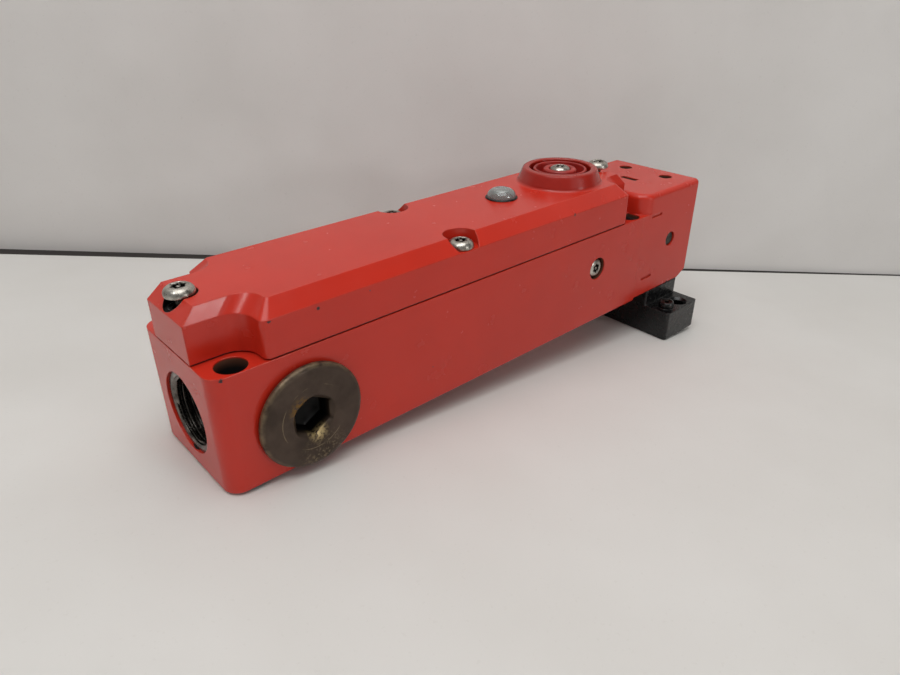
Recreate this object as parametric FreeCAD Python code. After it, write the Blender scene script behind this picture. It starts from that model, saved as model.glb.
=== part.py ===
"""Tongue interlock switch with guard locking, built piece by piece.

Units are millimetres.  +X runs along the body towards the head, +Y to the left of the body and
+Z from the mounting face towards the lid.  The origin is the centre of the four mounting holes on
the mounting face.  The switch is drawn with its key fully entered from below and its bolt out.
"""
import math
import os

import FreeCAD
import Part
from FreeCAD import Vector

# ---------------------------------------------------------------- driving dimensions
# Die-cast body
BODY_W = 40.0
BODY_H = 34.0
HOLE_PITCH_X = 156.0
HOLE_EDGE = 4.5             # hole centres in from each long side
HOLE_INSET = 7.5            # first hole pair from the conduit end
HOLE_TO_HEAD = 3.5          # second hole pair from the head's seat
HOLE_R = 2.75               # clearance for M5
HOLE_RECESS_R = 4.05
HOLE_RECESS_DEPTH = 6.0
SIDE_WALL = 3.5
FLOOR = 3.0
END_BLOCK = 16.0            # solid end that takes the conduit thread
HEAD_WALL = 10.0            # wall that the head bolts to
CORNER_R = 4.5
EDGE_R = 1.2
CHAMBER_CORNER_R = 2.5
MID_PILLAR_R = 5.0

# Conduit entries
ENTRY_R = 11.25
ENTRY_DROP = 1.0            # entries' centre below the body's mid-height
LINER_WALL = 1.6
LINER_LENGTH = 12.0
LINER_RECESS = 0.7
SIDE_ENTRY_X = 23.9         # from the conduit end
SIDE_ENTRY_DROP = 0.8       # side entries below the end entry
PLUG_THREAD_R = 10.4
PLUG_THREAD_LENGTH = 9.0
PLUG_FLANGE_R = 14.8
PLUG_FLANGE_T = 2.0
PLUG_HEX_AF = 10.0
PLUG_HEX_DEPTH = 6.5
PLUG_SEAL_T = 0.6
ENTRY_BOSS_R = 13.4
ENTRY_BOSS_DEPTH = 7.0      # reach of the side entry's boss inside the wall
HEAD_GASKET_INSET = 1.6
HEAD_GASKET_W = 1.5
HEAD_GASKET_T = 0.6

# Lid
LID_GASKET_T = 0.5
LID_H = 13.8
LID_EDGE = 3.8              # height and width of the sloped edge
LID_WALL = 2.6
LID_ROOF = 2.5
LUG_W = 20.4
LUG_EDGE = 1.2
NOTCH_X = 6.9               # from a hole's centre to the lid's end wall
NOTCH_R = 6.0
NOTCH_TOP_R = 6.0
LID_CORNER_R = 1.9
LID_TOP_CORNER_R = 0.8
LID_HEAD_GAP = 0.3
LID_PILLAR_R = 7.0
MID_SCREW_X = 80.0          # from the conduit end
MID_SCREW_EDGE = 4.0        # middle screws in from each long side
END_SCREW_INSET = 4.6       # front lid screw from the conduit end
FAR_SCREW_INSET = 3.9       # far lid screw from the head
SCREW_SEAT_DEPTH = 3.9      # below the lid's top
SPOTFACE_R = 5.2
COUNTERBORE_R = 4.3
LOOSE_FRONT = 3.5           # how far each slackened screw stands off its seat
LOOSE_FAR = 4.6
ROOF_OVER_ENTRY = 1.2       # metal left between a lid screw's hole and the entry
WASHER_T = 0.6

# M4 tamper-proof screws
M4_R = 2.0
M4_HEAD_R = 3.85
M4_HEAD_H = 2.4
M4_CLEARANCE = 0.25
CAP_HEAD_R = 3.2
CAP_HEAD_H = 2.4
DRIVE_R = 1.75
DRIVE_DEPTH = 1.2
DRIVE_PIN_R = 0.55

# Indicator
LED_X = 112.8               # from the conduit end
LED_R = 4.7
LED_TOP_R = 2.2             # the lens's flat crown
LED_RISE = 3.0
LED_RIM_R = 5.3
LED_RIM_H = 0.5
BOARD_T = 1.6
BOARD_L = 26.0
BOARD_W = 20.0
BOARD_DROP = 2.7            # gap from the lid's roof
BOARD_POST_R = 2.0
BOARD_SCREW_R = 0.9
BOARD_SCREW_L = 2.0         # thread in the post
BOARD_SCREW_HEAD = (1.8, 1.1)
BOARD_SHIFT = 4.0           # board's middle back from the lens
LIGHT_SIZE = (3.4, 2.8, 1.6)
COUPLER_SIZE = (6.5, 9.0, 2.0)
COUPLER_SHIFT = 5.0

# Manual release
RELEASE_X = 25.4            # from the head's seat back to both release axes
SIDE_RELEASE_RISE = 0.5     # side release above the cam's axis
RING_BASE_R = 14.2
RING_TOP_R = 12.9
RING_INNER_R = 10.5
RING_FOOT_R = 1.2
RING_H = 4.9
DIAL_R = 9.2
DIAL_WALL = 0.8
DIAL_HUB_R = 5.8
DIAL_GAP = 0.3
DIAL_SINK = 0.4             # dial's rim below the ring's, and its floor below the lid's top
SHAFT_BOSS_DROP = 5.0
SEAL_R = 4.5
SEAL_DEPTH = 1.5
CLIP_T = 0.5
CLIP_GROOVE = 0.4
RELEASE_SHAFT_R = 3.0
RELEASE_PIN_R = 1.4
RELEASE_THROW = 1.5
SIDE_HEAD_R = 3.5
SIDE_SHANK_R = 2.5
SIDE_PIN_R = 1.1
SIDE_COUNTERBORE_R = 4.0
SIDE_HEAD_H = 1.8
SIDE_HEAD_SUNK = 0.4

# Head
HEAD_LEN = 36.5
HEAD_RISE = 7.3             # head's top above the body's deck
HEAD_BASE = 1.5
HEAD_MOUTH = 3.5            # depth of the open mouth that faces the body
HEAD_BOSS_R = 3.8
HEAD_BOSS_L = 9.0
KEY_END_GAP = 1.6           # cam's space beyond the key
HEAD_FLOOR = 3.5
HEAD_ROOF = 6.8
HEAD_EDGE_R = 1.8
HEAD_CORNER_R = 5.5
HEAD_CHAMFER_X = 6.5
HEAD_CHAMFER_Z = 3.3
HEAD_SCREW_WALL = 5.3       # head screws in from the chamber's side walls
HEAD_SCREW_LOW = 6.0        # lower pair above the head's base
HEAD_SCREW_HIGH = 5.4       # upper pair below the body's deck
TOP_HOLE_R = 2.5
TOP_HOLE_DEPTH = 5.5
TOP_HOLE_INSET = 8.4
TOP_HOLE_Y = 9.3
TOP_SLOT_X = 15.8
TOP_SLOT_SHIFT = 1.2        # slot's middle off the head's middle plane
TOP_SLOT_L = 7.2
TOP_SLOT_W = 2.6
DASH_L = 6.5
DASH_W = 0.9
GUIDE_L = 27.0
GUIDE_H = 9.0
GUIDE_T = 1.2

# Cam, key and sliding pieces
CAM_X = 20.1                # from the head's seat
CAM_DROP = 13.4             # cam's axis below the body's deck
CAM_SHAFT_R = 2.8
RUNNING_GAP = 0.05
CAM_HUB_R = 5.9
CAM_HUB_W = 8.0
CAM_HOOK_R = 10.1
CAM_HOOK_T = 3.2
CAM_DISC_W = 4.6
CAM_SIDE_GAP = 0.3          # air between cam and washer
CAM_WASHER_T = 1.05
CAM_WASHER_R = 4.6
CAM_WASHER_GAP = 0.1
ROD_PLANE_SHIFT = 0.5       # rods inside the middle of each half of the chamber
CAM_TRACK_R = 6.0
CAM_LIFT = 3.5
CAM_TURN = 125.0            # degrees over the key's whole travel
CAM_TRACK_OVERRUN = 6.0     # degrees of track past the last contact
LOCK_DISC_R = 9.5
LOCK_NOTCH_W = 5.6
LOCK_NOTCH_DEPTH = 3.2
KEY_TRAVEL = 27.0
KEY_T = 2.5
KEY_W = 19.0
KEY_OFFSET = 8.25           # from the cam's axis
KEY_TIP_RISE = 7.7          # key's tip above the cam's axis
KEY_WINDOW_W = 9.2
KEY_WINDOW_LOW = 2.0        # window's edges below and above the cam's axis
KEY_WINDOW_HIGH = 5.2
KEY_CORNER_R = 2.0
RIVET_R = 2.0
RIVET_HEAD_R = 3.2
RIVET_L = 8.0
RIVET_Y = 5.6
KEY_SLOT_GAP = 0.3
CONTACT_GAP = 0.3           # air left between pieces of different bodies
ROD_R = 2.5
BUSH_R = 4.0
COLLAR_R = 3.5
COLLAR_T = 1.1
COLLAR_BACK = 3.6           # collar's seat back from the plunger's tip
BUSH_FLANGE_R = 5.0
BUSH_FLANGE_T = 1.2
LOCK_TRAVEL = 4.0

# Key base
BASE_L = 20.4
BASE_W = 61.0
BASE_H = 11.7
BASE_TOP = -5.0
BASE_HEAD_GAP = 0.3
BASE_HOLE_EDGE = 4.5
BASE_HOLE_X = 13.4          # from the base's inner face
BASE_ADJUST_X = 5.2
ADJUST_BOSS_R = 2.9
ADJUST_BOSS_H = 2.6
BASE_SINK_R = 3.7           # countersink of the base's holes
BASE_CORNER_R = 1.2
BASE_SEAT_Z = 2.6           # tongue's seat above the base's underside
ADJUSTER_R = 2.0

# Contact block and solenoid, from the head wall's inner face back
BAY_CLEARANCE = 0.65        # pieces in the chamber from its side walls
CONTACT_END = 29.0
CONTACT_LENGTH = 40.0
CONTACT_WALL = 1.5
CONTACT_FLOOR = 3.0
CONTACT_MID_GAP = 0.9       # contact block from the body's middle plane
CONTACT_RISE = 9.4          # contact block's rim above the cam's axis
CONTACT_COVER_T = 1.2
CARRIER_HALF_H = 6.5
CARRIER_INSET = 2.7
BRIDGE_PITCH = 8.0
BRIDGE_T = 1.0
BRIDGE_H = 2.6
BRIDGE_GAP = 0.25
BUTTON_R = 0.9
BUTTON_INSET = 1.0
BUTTON_STANDS = 0.6
BLADE_T = 0.8
SOLENOID_END = 31.0
SOLENOID_LENGTH = 38.0
COIL_INSET = 0.5
COIL_FLANGE_T = 1.4
COIL_DEPTH = 2.35
BOBBIN_WALL = 0.7
YOKE_PLATE_T = 2.0
YOKE_STRIP_T = 1.6
YOKE_STRIP_W = 11.0
CORE_L = 11.0
CORE_STUB_R = 3.0
CORE_STUB_L = 1.2
ARMATURE_GAP = 0.25
ARMATURE_OUT = 4.0
RELEASE_PLATE_T = 2.0
RELEASE_PLATE_H = 14.0
RELEASE_PLATE_EDGE = 2.3    # plate beyond the rods
RELEASE_PLATE_GAP = 0.8     # release pins' nearest approach to the plate
SPRING_WIRE_R = 0.4
SPRING_AIR = 0.15
TERMINAL_X = (46.0, 72.0)   # from the conduit end
TERMINAL_H = 17.0
TERMINAL_ROWS = 4
TERMINAL_WALL_GAP = 7.5     # terminal screws in from the chamber's side walls
TERMINAL_WELL_R = 2.7
TERMINAL_WELL_DEPTH = 8.0
TERMINAL_CHANNEL = (6.0, 5.0)
CLAMP_SIZE = (4.4, 5.4, 4.5)
TERMINAL_SCREW_R = 1.25
TERMINAL_SCREW_L = 3.5
TERMINAL_SCREW_HEAD = (2.4, 1.6)
EARTH_X = 41.5
EARTH_WALL_GAP = 5.5
EARTH_BOSS_R = 3.5
EARTH_BOSS_H = 5.0
EARTH_CLAMP = (6.6, 1.0)

# ---------------------------------------------------------------- derived places
UP = Vector(0, 0, 1)
ALONG = Vector(1, 0, 0)
LEFT = Vector(0, 1, 0)
HALF_W = BODY_W / 2
HOLE_PITCH_Y = BODY_W - 2 * HOLE_EDGE
END_X = -(HOLE_INSET + HOLE_PITCH_X / 2)
HEAD_X = HOLE_PITCH_X / 2 + HOLE_TO_HEAD
FAR_X = HEAD_X + HEAD_LEN
CHAMBER_X = (END_X + END_BLOCK, HEAD_X - HEAD_WALL)
CHAMBER_Y = HALF_W - SIDE_WALL
ENTRY_Z = BODY_H / 2 - ENTRY_DROP
SIDE_ENTRY_Z = ENTRY_Z - SIDE_ENTRY_DROP
LID_BASE = BODY_H + LID_GASKET_T
LID_TOP = LID_BASE + LID_H
ROOF_Z = LID_TOP - LID_ROOF
SCREW_SEAT = LID_TOP - SCREW_SEAT_DEPTH
LID_HOLE_DEPTH = BODY_H - (ENTRY_Z + ENTRY_R) - ROOF_OVER_ENTRY
LID_SCREW_L = SCREW_SEAT - BODY_H + LID_HOLE_DEPTH - 0.5
HEAD_TOP = BODY_H + HEAD_RISE
HEAD_SCREW_Y = CHAMBER_Y - HEAD_SCREW_WALL
HEAD_SCREW_Z = (HEAD_BASE + HEAD_SCREW_LOW, BODY_H - HEAD_SCREW_HIGH)
CAM_Z = BODY_H - CAM_DROP
CAM_AT = Vector(HEAD_X + CAM_X, 0, CAM_Z)
CAM_DISC_Y = CHAMBER_Y / 2 - ROD_PLANE_SHIFT
CAM_WASHER_Y = CAM_DISC_Y + CAM_DISC_W / 2 + CAM_SIDE_GAP
HEAD_CAVITY_W = 2 * (CAM_WASHER_Y + CAM_WASHER_T + CAM_WASHER_GAP)
SIDE_RELEASE_Z = CAM_Z + SIDE_RELEASE_RISE
KEY_X = (CAM_AT.x + KEY_OFFSET - KEY_T / 2, CAM_AT.x + KEY_OFFSET + KEY_T / 2)
HEAD_SPACE_END = KEY_X[1] + KEY_END_GAP
BASE_X = (KEY_X[1] + 0.4 - BASE_L, KEY_X[1] + 0.4)
BASE_HOLE_Y = BASE_W / 2 - BASE_HOLE_EDGE
RELEASE_AT_X = HEAD_X - RELEASE_X
PLUNGER_TIP = CAM_AT.x - CAM_TRACK_R - CONTACT_GAP
BOLT_TIP = CAM_AT.x - LOCK_DISC_R - CONTACT_GAP
CONTACT_X = (CHAMBER_X[1] - CONTACT_END - CONTACT_LENGTH, CHAMBER_X[1] - CONTACT_END)
CONTACT_Y = (-CHAMBER_Y + BAY_CLEARANCE, -CONTACT_MID_GAP)
SOLENOID_X = (CHAMBER_X[1] - SOLENOID_END - SOLENOID_LENGTH, CHAMBER_X[1] - SOLENOID_END)
SOLENOID_HALF_W = CHAMBER_Y - CAM_DISC_Y - BAY_CLEARANCE
COIL_R = SOLENOID_HALF_W - COIL_INSET
BOBBIN_BORE_R = COIL_R - COIL_DEPTH - BOBBIN_WALL
ARMATURE_R = BOBBIN_BORE_R - ARMATURE_GAP
RELEASE_PLATE_X = RELEASE_AT_X - RELEASE_THROW - RELEASE_PIN_R - RELEASE_PLATE_GAP
RELEASE_PLATE_Y = CAM_DISC_Y + ROD_R + RELEASE_PLATE_EDGE
BRIDGE_L = 2 * (CAM_DISC_Y - CONTACT_MID_GAP - CONTACT_WALL - BRIDGE_GAP)
BUTTON_Y = BRIDGE_L / 2 - BUTTON_INSET
BRIDGES = [CONTACT_X[1] - BRIDGE_PITCH * (i + 7 / 8) for i in range(4)]
TERMINAL_TOP = FLOOR + TERMINAL_H
EARTH_AT = (END_X + EARTH_X, CHAMBER_Y - EARTH_WALL_GAP)


# ---------------------------------------------------------------- shape helpers
def block(x, y, z):
    """A box between low and high values on each axis."""
    return Part.makeBox(x[1] - x[0], y[1] - y[0], z[1] - z[0], Vector(x[0], y[0], z[0]))


def span(centre, width):
    """Low and high values about a centre."""
    return (centre - width / 2, centre + width / 2)


def rod(radius, start, end):
    """A cylinder from one point to another."""
    return Part.makeCylinder(radius, (end - start).Length, start, end - start)


def tube(outer, inner, start, end):
    """A hollow cylinder from one point to another."""
    return rod(outer, start, end).cut(rod(inner, start, end))


def turned(profile, base, axis):
    """A solid turned from (radius, height) points about an axis through base."""
    points = [Vector(r, 0, h) for r, h in profile]
    solid = Part.Face(Part.makePolygon(points + points[:1])).revolve(Vector(0, 0, 0), UP, 360)
    solid.Placement = FreeCAD.Placement(base, FreeCAD.Rotation(UP, axis))
    return solid


def on_x(y, z, x):
    """Start and end points of a line along X."""
    return Vector(x[0], y, z), Vector(x[1], y, z)


def on_y(x, z, y):
    """Start and end points of a line along Y."""
    return Vector(x, y[0], z), Vector(x, y[1], z)


def on_z(x, y, z):
    """Start and end points of a line along Z."""
    return Vector(x, y, z[0]), Vector(x, y, z[1])


def rounded(corners, z):
    """A closed wire through right-angled corners (x, y, radius)."""
    edges, count = [], len(corners)
    places = [Vector(x, y, z) for x, y, _ in corners]
    ends = []
    for i, (_, _, radius) in enumerate(corners):
        into = (places[i] - places[i - 1]).normalize()
        out = (places[(i + 1) % count] - places[i]).normalize()
        first, last = places[i] - into * radius, places[i] + out * radius
        if radius:
            centre = first + out * radius
            middle = centre + (places[i] - centre).normalize() * radius
            edges.append(Part.Arc(first, middle, last).toShape())
        ends.append((first, last))
    for i in range(count):
        edges.append(Part.LineSegment(ends[i - 1][1], ends[i][0]).toShape())
    return Part.Wire(Part.__sortEdges__(edges))


def prism(wire, height):
    """A closed wire raised to a solid."""
    return Part.Face(wire).extrude(Vector(0, 0, height))


def near(value, target):
    """True when two lengths agree."""
    return abs(value - target) < 1e-4


def uprights(shape):
    """The straight edges that run along Z."""
    return [e for e in shape.Edges if near(abs(e.tangentAt(e.FirstParameter).z), 1)]


def hexagon(across, start, end):
    """A hexagonal prism of a width across flats, from one point to another."""
    radius = across / math.sqrt(3)
    points = [Vector(radius * math.cos(math.radians(a)), radius * math.sin(math.radians(a)), 0)
              for a in range(0, 361, 60)]
    solid = Part.Face(Part.makePolygon(points)).extrude(Vector(0, 0, (end - start).Length))
    solid.Placement = FreeCAD.Placement(start, FreeCAD.Rotation(UP, end - start))
    return solid


def six_lobe(radius, start, end):
    """A six-lobed prism for a screw's drive, from one point to another."""
    lobes = [rod(radius * 0.26, *on_z(radius * 0.74 * math.cos(math.radians(a)),
                                      radius * 0.74 * math.sin(math.radians(a)), (0, (end - start).Length)))
             for a in range(0, 360, 60)]
    solid = joined([rod(radius * 0.78, *on_z(0, 0, (0, (end - start).Length)))] + lobes)
    solid.Placement = FreeCAD.Placement(start, FreeCAD.Rotation(UP, end - start))
    return solid


def coil_spring(mean_r, start, end, turns):
    """A round-wire compression spring between two points."""
    length = (end - start).Length - 2 * SPRING_WIRE_R
    helix = Part.makeHelix(length / turns, length, mean_r)
    ring = Part.Wire(Part.makeCircle(SPRING_WIRE_R, Vector(mean_r, 0, 0), Vector(0, 1, 0)))
    spring = Part.Wire(helix).makePipeShell([ring], True, True)
    spring.translate(Vector(0, 0, SPRING_WIRE_R))
    spring.Placement = FreeCAD.Placement(start, FreeCAD.Rotation(UP, end - start)) * spring.Placement
    return Part.Solid(spring) if spring.ShapeType != "Solid" else spring


def screw(seat, axis, length, radius=M4_R, head_r=M4_HEAD_R, head_h=M4_HEAD_H):
    """A round-headed screw whose head sits on seat, with a sunk drive and a centre pin."""
    crown = head_h * 0.45
    profile = [(0, -length), (radius * 0.8, -length), (radius, -length + radius * 0.2), (radius, 0),
               (head_r, 0), (head_r, crown), (head_r * 0.82, head_h * 0.85), (head_r * 0.55, head_h),
               (0, head_h)]
    floor, face = seat + axis * (head_h - DRIVE_DEPTH), seat + axis * (head_h + 1)
    pin = rod(DRIVE_PIN_R, floor, seat + axis * (head_h - DRIVE_DEPTH * 0.25))
    return turned(profile, seat, axis).cut(six_lobe(DRIVE_R, floor, face)).fuse(pin)


def both_sides(make, y):
    """The same shape made at plus and minus y."""
    return [make(side * y) for side in (1, -1)]


def joined(shapes):
    """One solid from several that touch."""
    result = shapes[0]
    for shape in shapes[1:]:
        result = result.fuse(shape)
    return result.removeSplitter()


# ---------------------------------------------------------------- body and lid
def mounting_points():
    """The four mounting hole centres."""
    return [(sx * HOLE_PITCH_X / 2, sy * HOLE_PITCH_Y / 2) for sx in (-1, 1) for sy in (-1, 1)]


def lid_screw_points():
    """Lid screws as (x, y, lift above the seat): front, far and the two in the middle."""
    mid, side = END_X + MID_SCREW_X, HALF_W - MID_SCREW_EDGE
    return [(END_X + END_SCREW_INSET, 0.0, LOOSE_FRONT), (HEAD_X - FAR_SCREW_INSET, 0.0, LOOSE_FAR),
            (mid, side, 0.0), (mid, -side, 0.0)]


def make_housing():
    """The open-topped die-cast body with its chamber, bosses and bores."""
    body = block((END_X, HEAD_X), (-HALF_W, HALF_W), (0, BODY_H))
    body = body.makeFillet(CORNER_R, [e for e in uprights(body) if near(e.Vertexes[0].X, END_X)])
    body = body.makeFillet(EDGE_R, [e for e in body.Edges if all(near(v.Z, 0) for v in e.Vertexes)
                                    and not all(near(v.X, HEAD_X) for v in e.Vertexes)])
    chamber = block(CHAMBER_X, (-CHAMBER_Y, CHAMBER_Y), (FLOOR, BODY_H + 1))
    body = body.cut(chamber.makeFillet(CHAMBER_CORNER_R, uprights(chamber)))
    entry_x = END_X + SIDE_ENTRY_X
    added = []
    for side in (1, -1):
        depth = (CHAMBER_Y - ENTRY_BOSS_DEPTH, CHAMBER_Y + 0.5)
        added.append(rod(ENTRY_BOSS_R, *on_y(entry_x, SIDE_ENTRY_Z, (side * depth[0], side * depth[1]))))
    for pillar in mid_pillars(MID_PILLAR_R, (FLOOR - 0.5, BODY_H)):
        added.append(pillar.common(block((END_X, HEAD_X), (-HALF_W + 1, HALF_W - 1), (0, BODY_H))))
    side_boss = (-CHAMBER_Y - 0.5, -RELEASE_PLATE_Y - 2 * CLIP_T)
    added.append(rod(SIDE_SHANK_R + 2.1, *on_y(RELEASE_AT_X, SIDE_RELEASE_Z, side_boss)))
    added.append(rod(EARTH_BOSS_R, *on_z(*EARTH_AT, (FLOOR - 0.5, FLOOR + EARTH_BOSS_H))))
    for shape in added:
        body = body.fuse(shape)
    body = body.removeSplitter()
    cuts = [rod(ENTRY_R, *on_x(0, ENTRY_Z, (END_X - 1, END_X + END_BLOCK + 0.5)))]
    for side in (1, -1):
        bore = (side * (CHAMBER_Y - ENTRY_BOSS_DEPTH - 1), side * (HALF_W + 1))
        cuts.append(rod(PLUG_THREAD_R + RUNNING_GAP, *on_y(entry_x, SIDE_ENTRY_Z, bore)))
    for x, y in mounting_points():
        cuts.append(rod(HOLE_R, *on_z(x, y, (-1, BODY_H + 1))))
        cuts.append(rod(HOLE_RECESS_R, *on_z(x, y, (BODY_H - HOLE_RECESS_DEPTH, BODY_H + 1))))
    for x, y, _ in lid_screw_points():
        cuts.append(rod(M4_R + RUNNING_GAP, *on_z(x, y, (BODY_H - LID_HOLE_DEPTH, BODY_H + 1))))
    for y, z in head_screw_points():
        cuts.append(rod(M4_R + M4_CLEARANCE, *on_x(y, z, (CHAMBER_X[1] - 1, HEAD_X + 1))))
    for y in (-CAM_DISC_Y, CAM_DISC_Y):
        cuts.append(rod(BUSH_R + RUNNING_GAP, *on_x(y, CAM_Z, (CHAMBER_X[1] - 1, HEAD_X + 1))))
    for radius, end in ((SIDE_SHANK_R + RUNNING_GAP, -RELEASE_PLATE_Y), (SIDE_COUNTERBORE_R, -HALF_W + 2.3)):
        cuts.append(rod(radius, *on_y(RELEASE_AT_X, SIDE_RELEASE_Z, (-HALF_W - 1, end))))
    cuts.append(rod(M4_R + RUNNING_GAP, *on_z(*EARTH_AT, (FLOOR, FLOOR + EARTH_BOSS_H + 1))))
    cuts.append(head_gasket_groove())
    for shape in cuts:
        body = body.cut(shape)
    return body


def head_gasket_groove():
    """The shallow rectangular groove that holds the head gasket."""
    width = BODY_W - 2 * HEAD_GASKET_INSET
    z = (HEAD_BASE + HEAD_GASKET_INSET / 2, BODY_H - HEAD_GASKET_INSET)
    outer = block((HEAD_X - HEAD_GASKET_T, HEAD_X), span(0, width), z)
    return outer.cut(block((HEAD_X - 1, HEAD_X + 1), span(0, width - 2 * HEAD_GASKET_W),
                           (z[0] + HEAD_GASKET_W, z[1] - HEAD_GASKET_W)))


def lid_outline(z, edge, lug_edge, notch, corner):
    """The lid's outline with a lug at each end, drawn in by edge and, at the lugs, lug_edge."""
    x0, x1 = END_X + edge, HEAD_X - LID_HEAD_GAP - edge
    n0 = -HOLE_PITCH_X / 2 + NOTCH_X + edge
    n1 = HOLE_PITCH_X / 2 - NOTCH_X - edge
    lug, side = LUG_W / 2 - lug_edge, HALF_W - edge
    right = [(x0, -lug, 0), (n0, -lug, notch), (n0, -side, corner),
             (n1, -side, corner), (n1, -lug, notch), (x1, -lug, 0)]
    left = [(x, -y, r) for x, y, r in reversed(right)]
    return rounded(right + left, z)


def lid_cavity_wire(z, grow=0.0):
    """The inner outline that the lid and its gasket share."""
    x1 = HOLE_PITCH_X / 2 - NOTCH_X - LID_WALL + grow
    x0 = -x1
    y = HALF_W - LID_WALL - 0.6 + grow
    return rounded([(x0, -y, 3), (x1, -y, 3), (x1, y, 3), (x0, y, 3)], z)


def mid_pillars(radius, z):
    """The round pillars that the middle lid screws pass through."""
    return [rod(radius, *on_z(x, y, z)) for x, y, lift in lid_screw_points() if not lift]


def make_lid():
    """The die-cast lid: sloped edges, corner notches, spotfaces and the raised release ring."""
    shoulder = LID_TOP - LID_EDGE
    lid = prism(lid_outline(LID_BASE, 0, 0, NOTCH_R, LID_CORNER_R), shoulder - LID_BASE)
    rim = lid_outline(LID_TOP, LID_EDGE, LUG_EDGE, NOTCH_TOP_R, LID_TOP_CORNER_R)
    top = Part.makeLoft([lid_outline(shoulder, 0, 0, NOTCH_R, LID_CORNER_R), rim], True, True)
    lid = lid.fuse(top).removeSplitter()
    hollow = prism(lid_cavity_wire(LID_BASE - 1), ROOF_Z - LID_BASE + 1)
    for pillar in mid_pillars(LID_PILLAR_R, (LID_BASE - 1, ROOF_Z + 1)):
        hollow = hollow.cut(pillar)
    shaft_boss = rod(2 * RELEASE_SHAFT_R, *on_z(RELEASE_AT_X, 0, (ROOF_Z - SHAFT_BOSS_DROP, ROOF_Z + 1)))
    hollow = hollow.cut(shaft_boss)
    for x, y in board_posts():
        hollow = hollow.cut(rod(BOARD_POST_R, *on_z(x, y, (ROOF_Z - BOARD_DROP, ROOF_Z + 1))))
    lid = lid.cut(hollow)
    foot = [(RING_BASE_R + RING_FOOT_R * (1 - math.sin(math.radians(a))),
             RING_FOOT_R * (1 - math.cos(math.radians(a)))) for a in range(0, 91, 15)]
    ring = turned([(RING_INNER_R, -0.5), (RING_BASE_R + RING_FOOT_R, -0.5)] + foot
                  + [(RING_TOP_R + 0.2, RING_H - 0.9), (RING_TOP_R - 0.1, RING_H - 0.3),
                     (RING_TOP_R - 0.6, RING_H), (RING_INNER_R + 0.3, RING_H), (RING_INNER_R, RING_H - 0.3)],
                  Vector(RELEASE_AT_X, 0, LID_TOP), UP)
    lid = lid.fuse(ring).removeSplitter()
    shaft_hole = (ROOF_Z - SHAFT_BOSS_DROP - 1, LID_TOP + 1)
    cuts = [rod(RING_INNER_R, *on_z(RELEASE_AT_X, 0, (LID_TOP - DIAL_SINK, LID_TOP + 1))),
            rod(RELEASE_SHAFT_R + RUNNING_GAP, *on_z(RELEASE_AT_X, 0, shaft_hole)),
            rod(SEAL_R + 0.1, *on_z(RELEASE_AT_X, 0, (LID_TOP - DIAL_SINK - SEAL_DEPTH, LID_TOP + 1))),
            rod(LED_R - 0.5, *on_z(END_X + LED_X, 0, (ROOF_Z - 1, LID_TOP + 1)))]
    for x, y in board_posts():
        cuts.append(rod(BOARD_SCREW_R + RUNNING_GAP, *on_z(x, y, (ROOF_Z - BOARD_DROP - 1, ROOF_Z + 1))))
    for x, y, lift in lid_screw_points():
        cuts.append(rod(M4_R + M4_CLEARANCE, *on_z(x, y, (LID_BASE - 1, LID_TOP + 1))))
        seat_r = COUNTERBORE_R if lift else SPOTFACE_R
        cuts.append(rod(seat_r, *on_z(x, y, (SCREW_SEAT, LID_TOP + 1))))
    for shape in cuts:
        lid = lid.cut(shape)
    return lid


def make_lid_gasket():
    """The flat gasket between body and lid."""
    outer = prism(lid_outline(BODY_H, 0.5, 0.5, NOTCH_R, LID_CORNER_R), LID_GASKET_T)
    inner = prism(lid_cavity_wire(BODY_H - 1, 0.2), LID_GASKET_T + 2)
    for pillar in mid_pillars(LID_PILLAR_R - 0.4, (BODY_H - 2, BODY_H + 3)):
        inner = inner.cut(pillar)
    gasket = outer.cut(inner)
    for x, y, _ in lid_screw_points():
        gasket = gasket.cut(rod(M4_R + M4_CLEARANCE, *on_z(x, y, (BODY_H - 1, LID_BASE + 1))))
    return gasket


def make_lid_screws(loose):
    """The lid screws that are slackened, or those that are tight."""
    return [screw(Vector(x, y, SCREW_SEAT + lift), UP, LID_SCREW_L)
            for x, y, lift in lid_screw_points() if bool(lift) == loose]


def make_screw_washers():
    """A thin sealing washer under each lid screw's head, in its seat."""
    return [tube(M4_HEAD_R - 0.5, M4_R + 0.1, *on_z(x, y, (SCREW_SEAT, SCREW_SEAT + WASHER_T)))
            for x, y, lift in lid_screw_points() if lift]


# ---------------------------------------------------------------- entries
def make_entry_liner():
    """The bare threaded liner of the open conduit entry."""
    x0 = END_X + LINER_RECESS
    outer, inner = ENTRY_R - RUNNING_GAP, ENTRY_R - LINER_WALL
    return turned([(inner + 0.9, 0), (outer, 0), (outer, LINER_LENGTH), (inner, LINER_LENGTH), (inner, 0.9)],
                  Vector(x0, 0, ENTRY_Z), ALONG)


def make_plug(side):
    """A conduit plug with a flange, a hexagon socket and a plain thread core."""
    flange = PLUG_FLANGE_T
    profile = [(0, -PLUG_THREAD_LENGTH), (PLUG_THREAD_R - 0.8, -PLUG_THREAD_LENGTH),
               (PLUG_THREAD_R, -PLUG_THREAD_LENGTH + 0.8), (PLUG_THREAD_R, 0), (PLUG_FLANGE_R, 0),
               (PLUG_FLANGE_R, flange - 0.7), (PLUG_FLANGE_R - 0.7, flange), (0, flange)]
    seat = Vector(END_X + SIDE_ENTRY_X, side * (HALF_W + PLUG_SEAL_T), SIDE_ENTRY_Z)
    plug = turned(profile, seat, LEFT * side)
    face = seat + LEFT * side * (flange + 1)
    return plug.cut(hexagon(PLUG_HEX_AF, seat + LEFT * side * (flange - PLUG_HEX_DEPTH), face))


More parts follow.
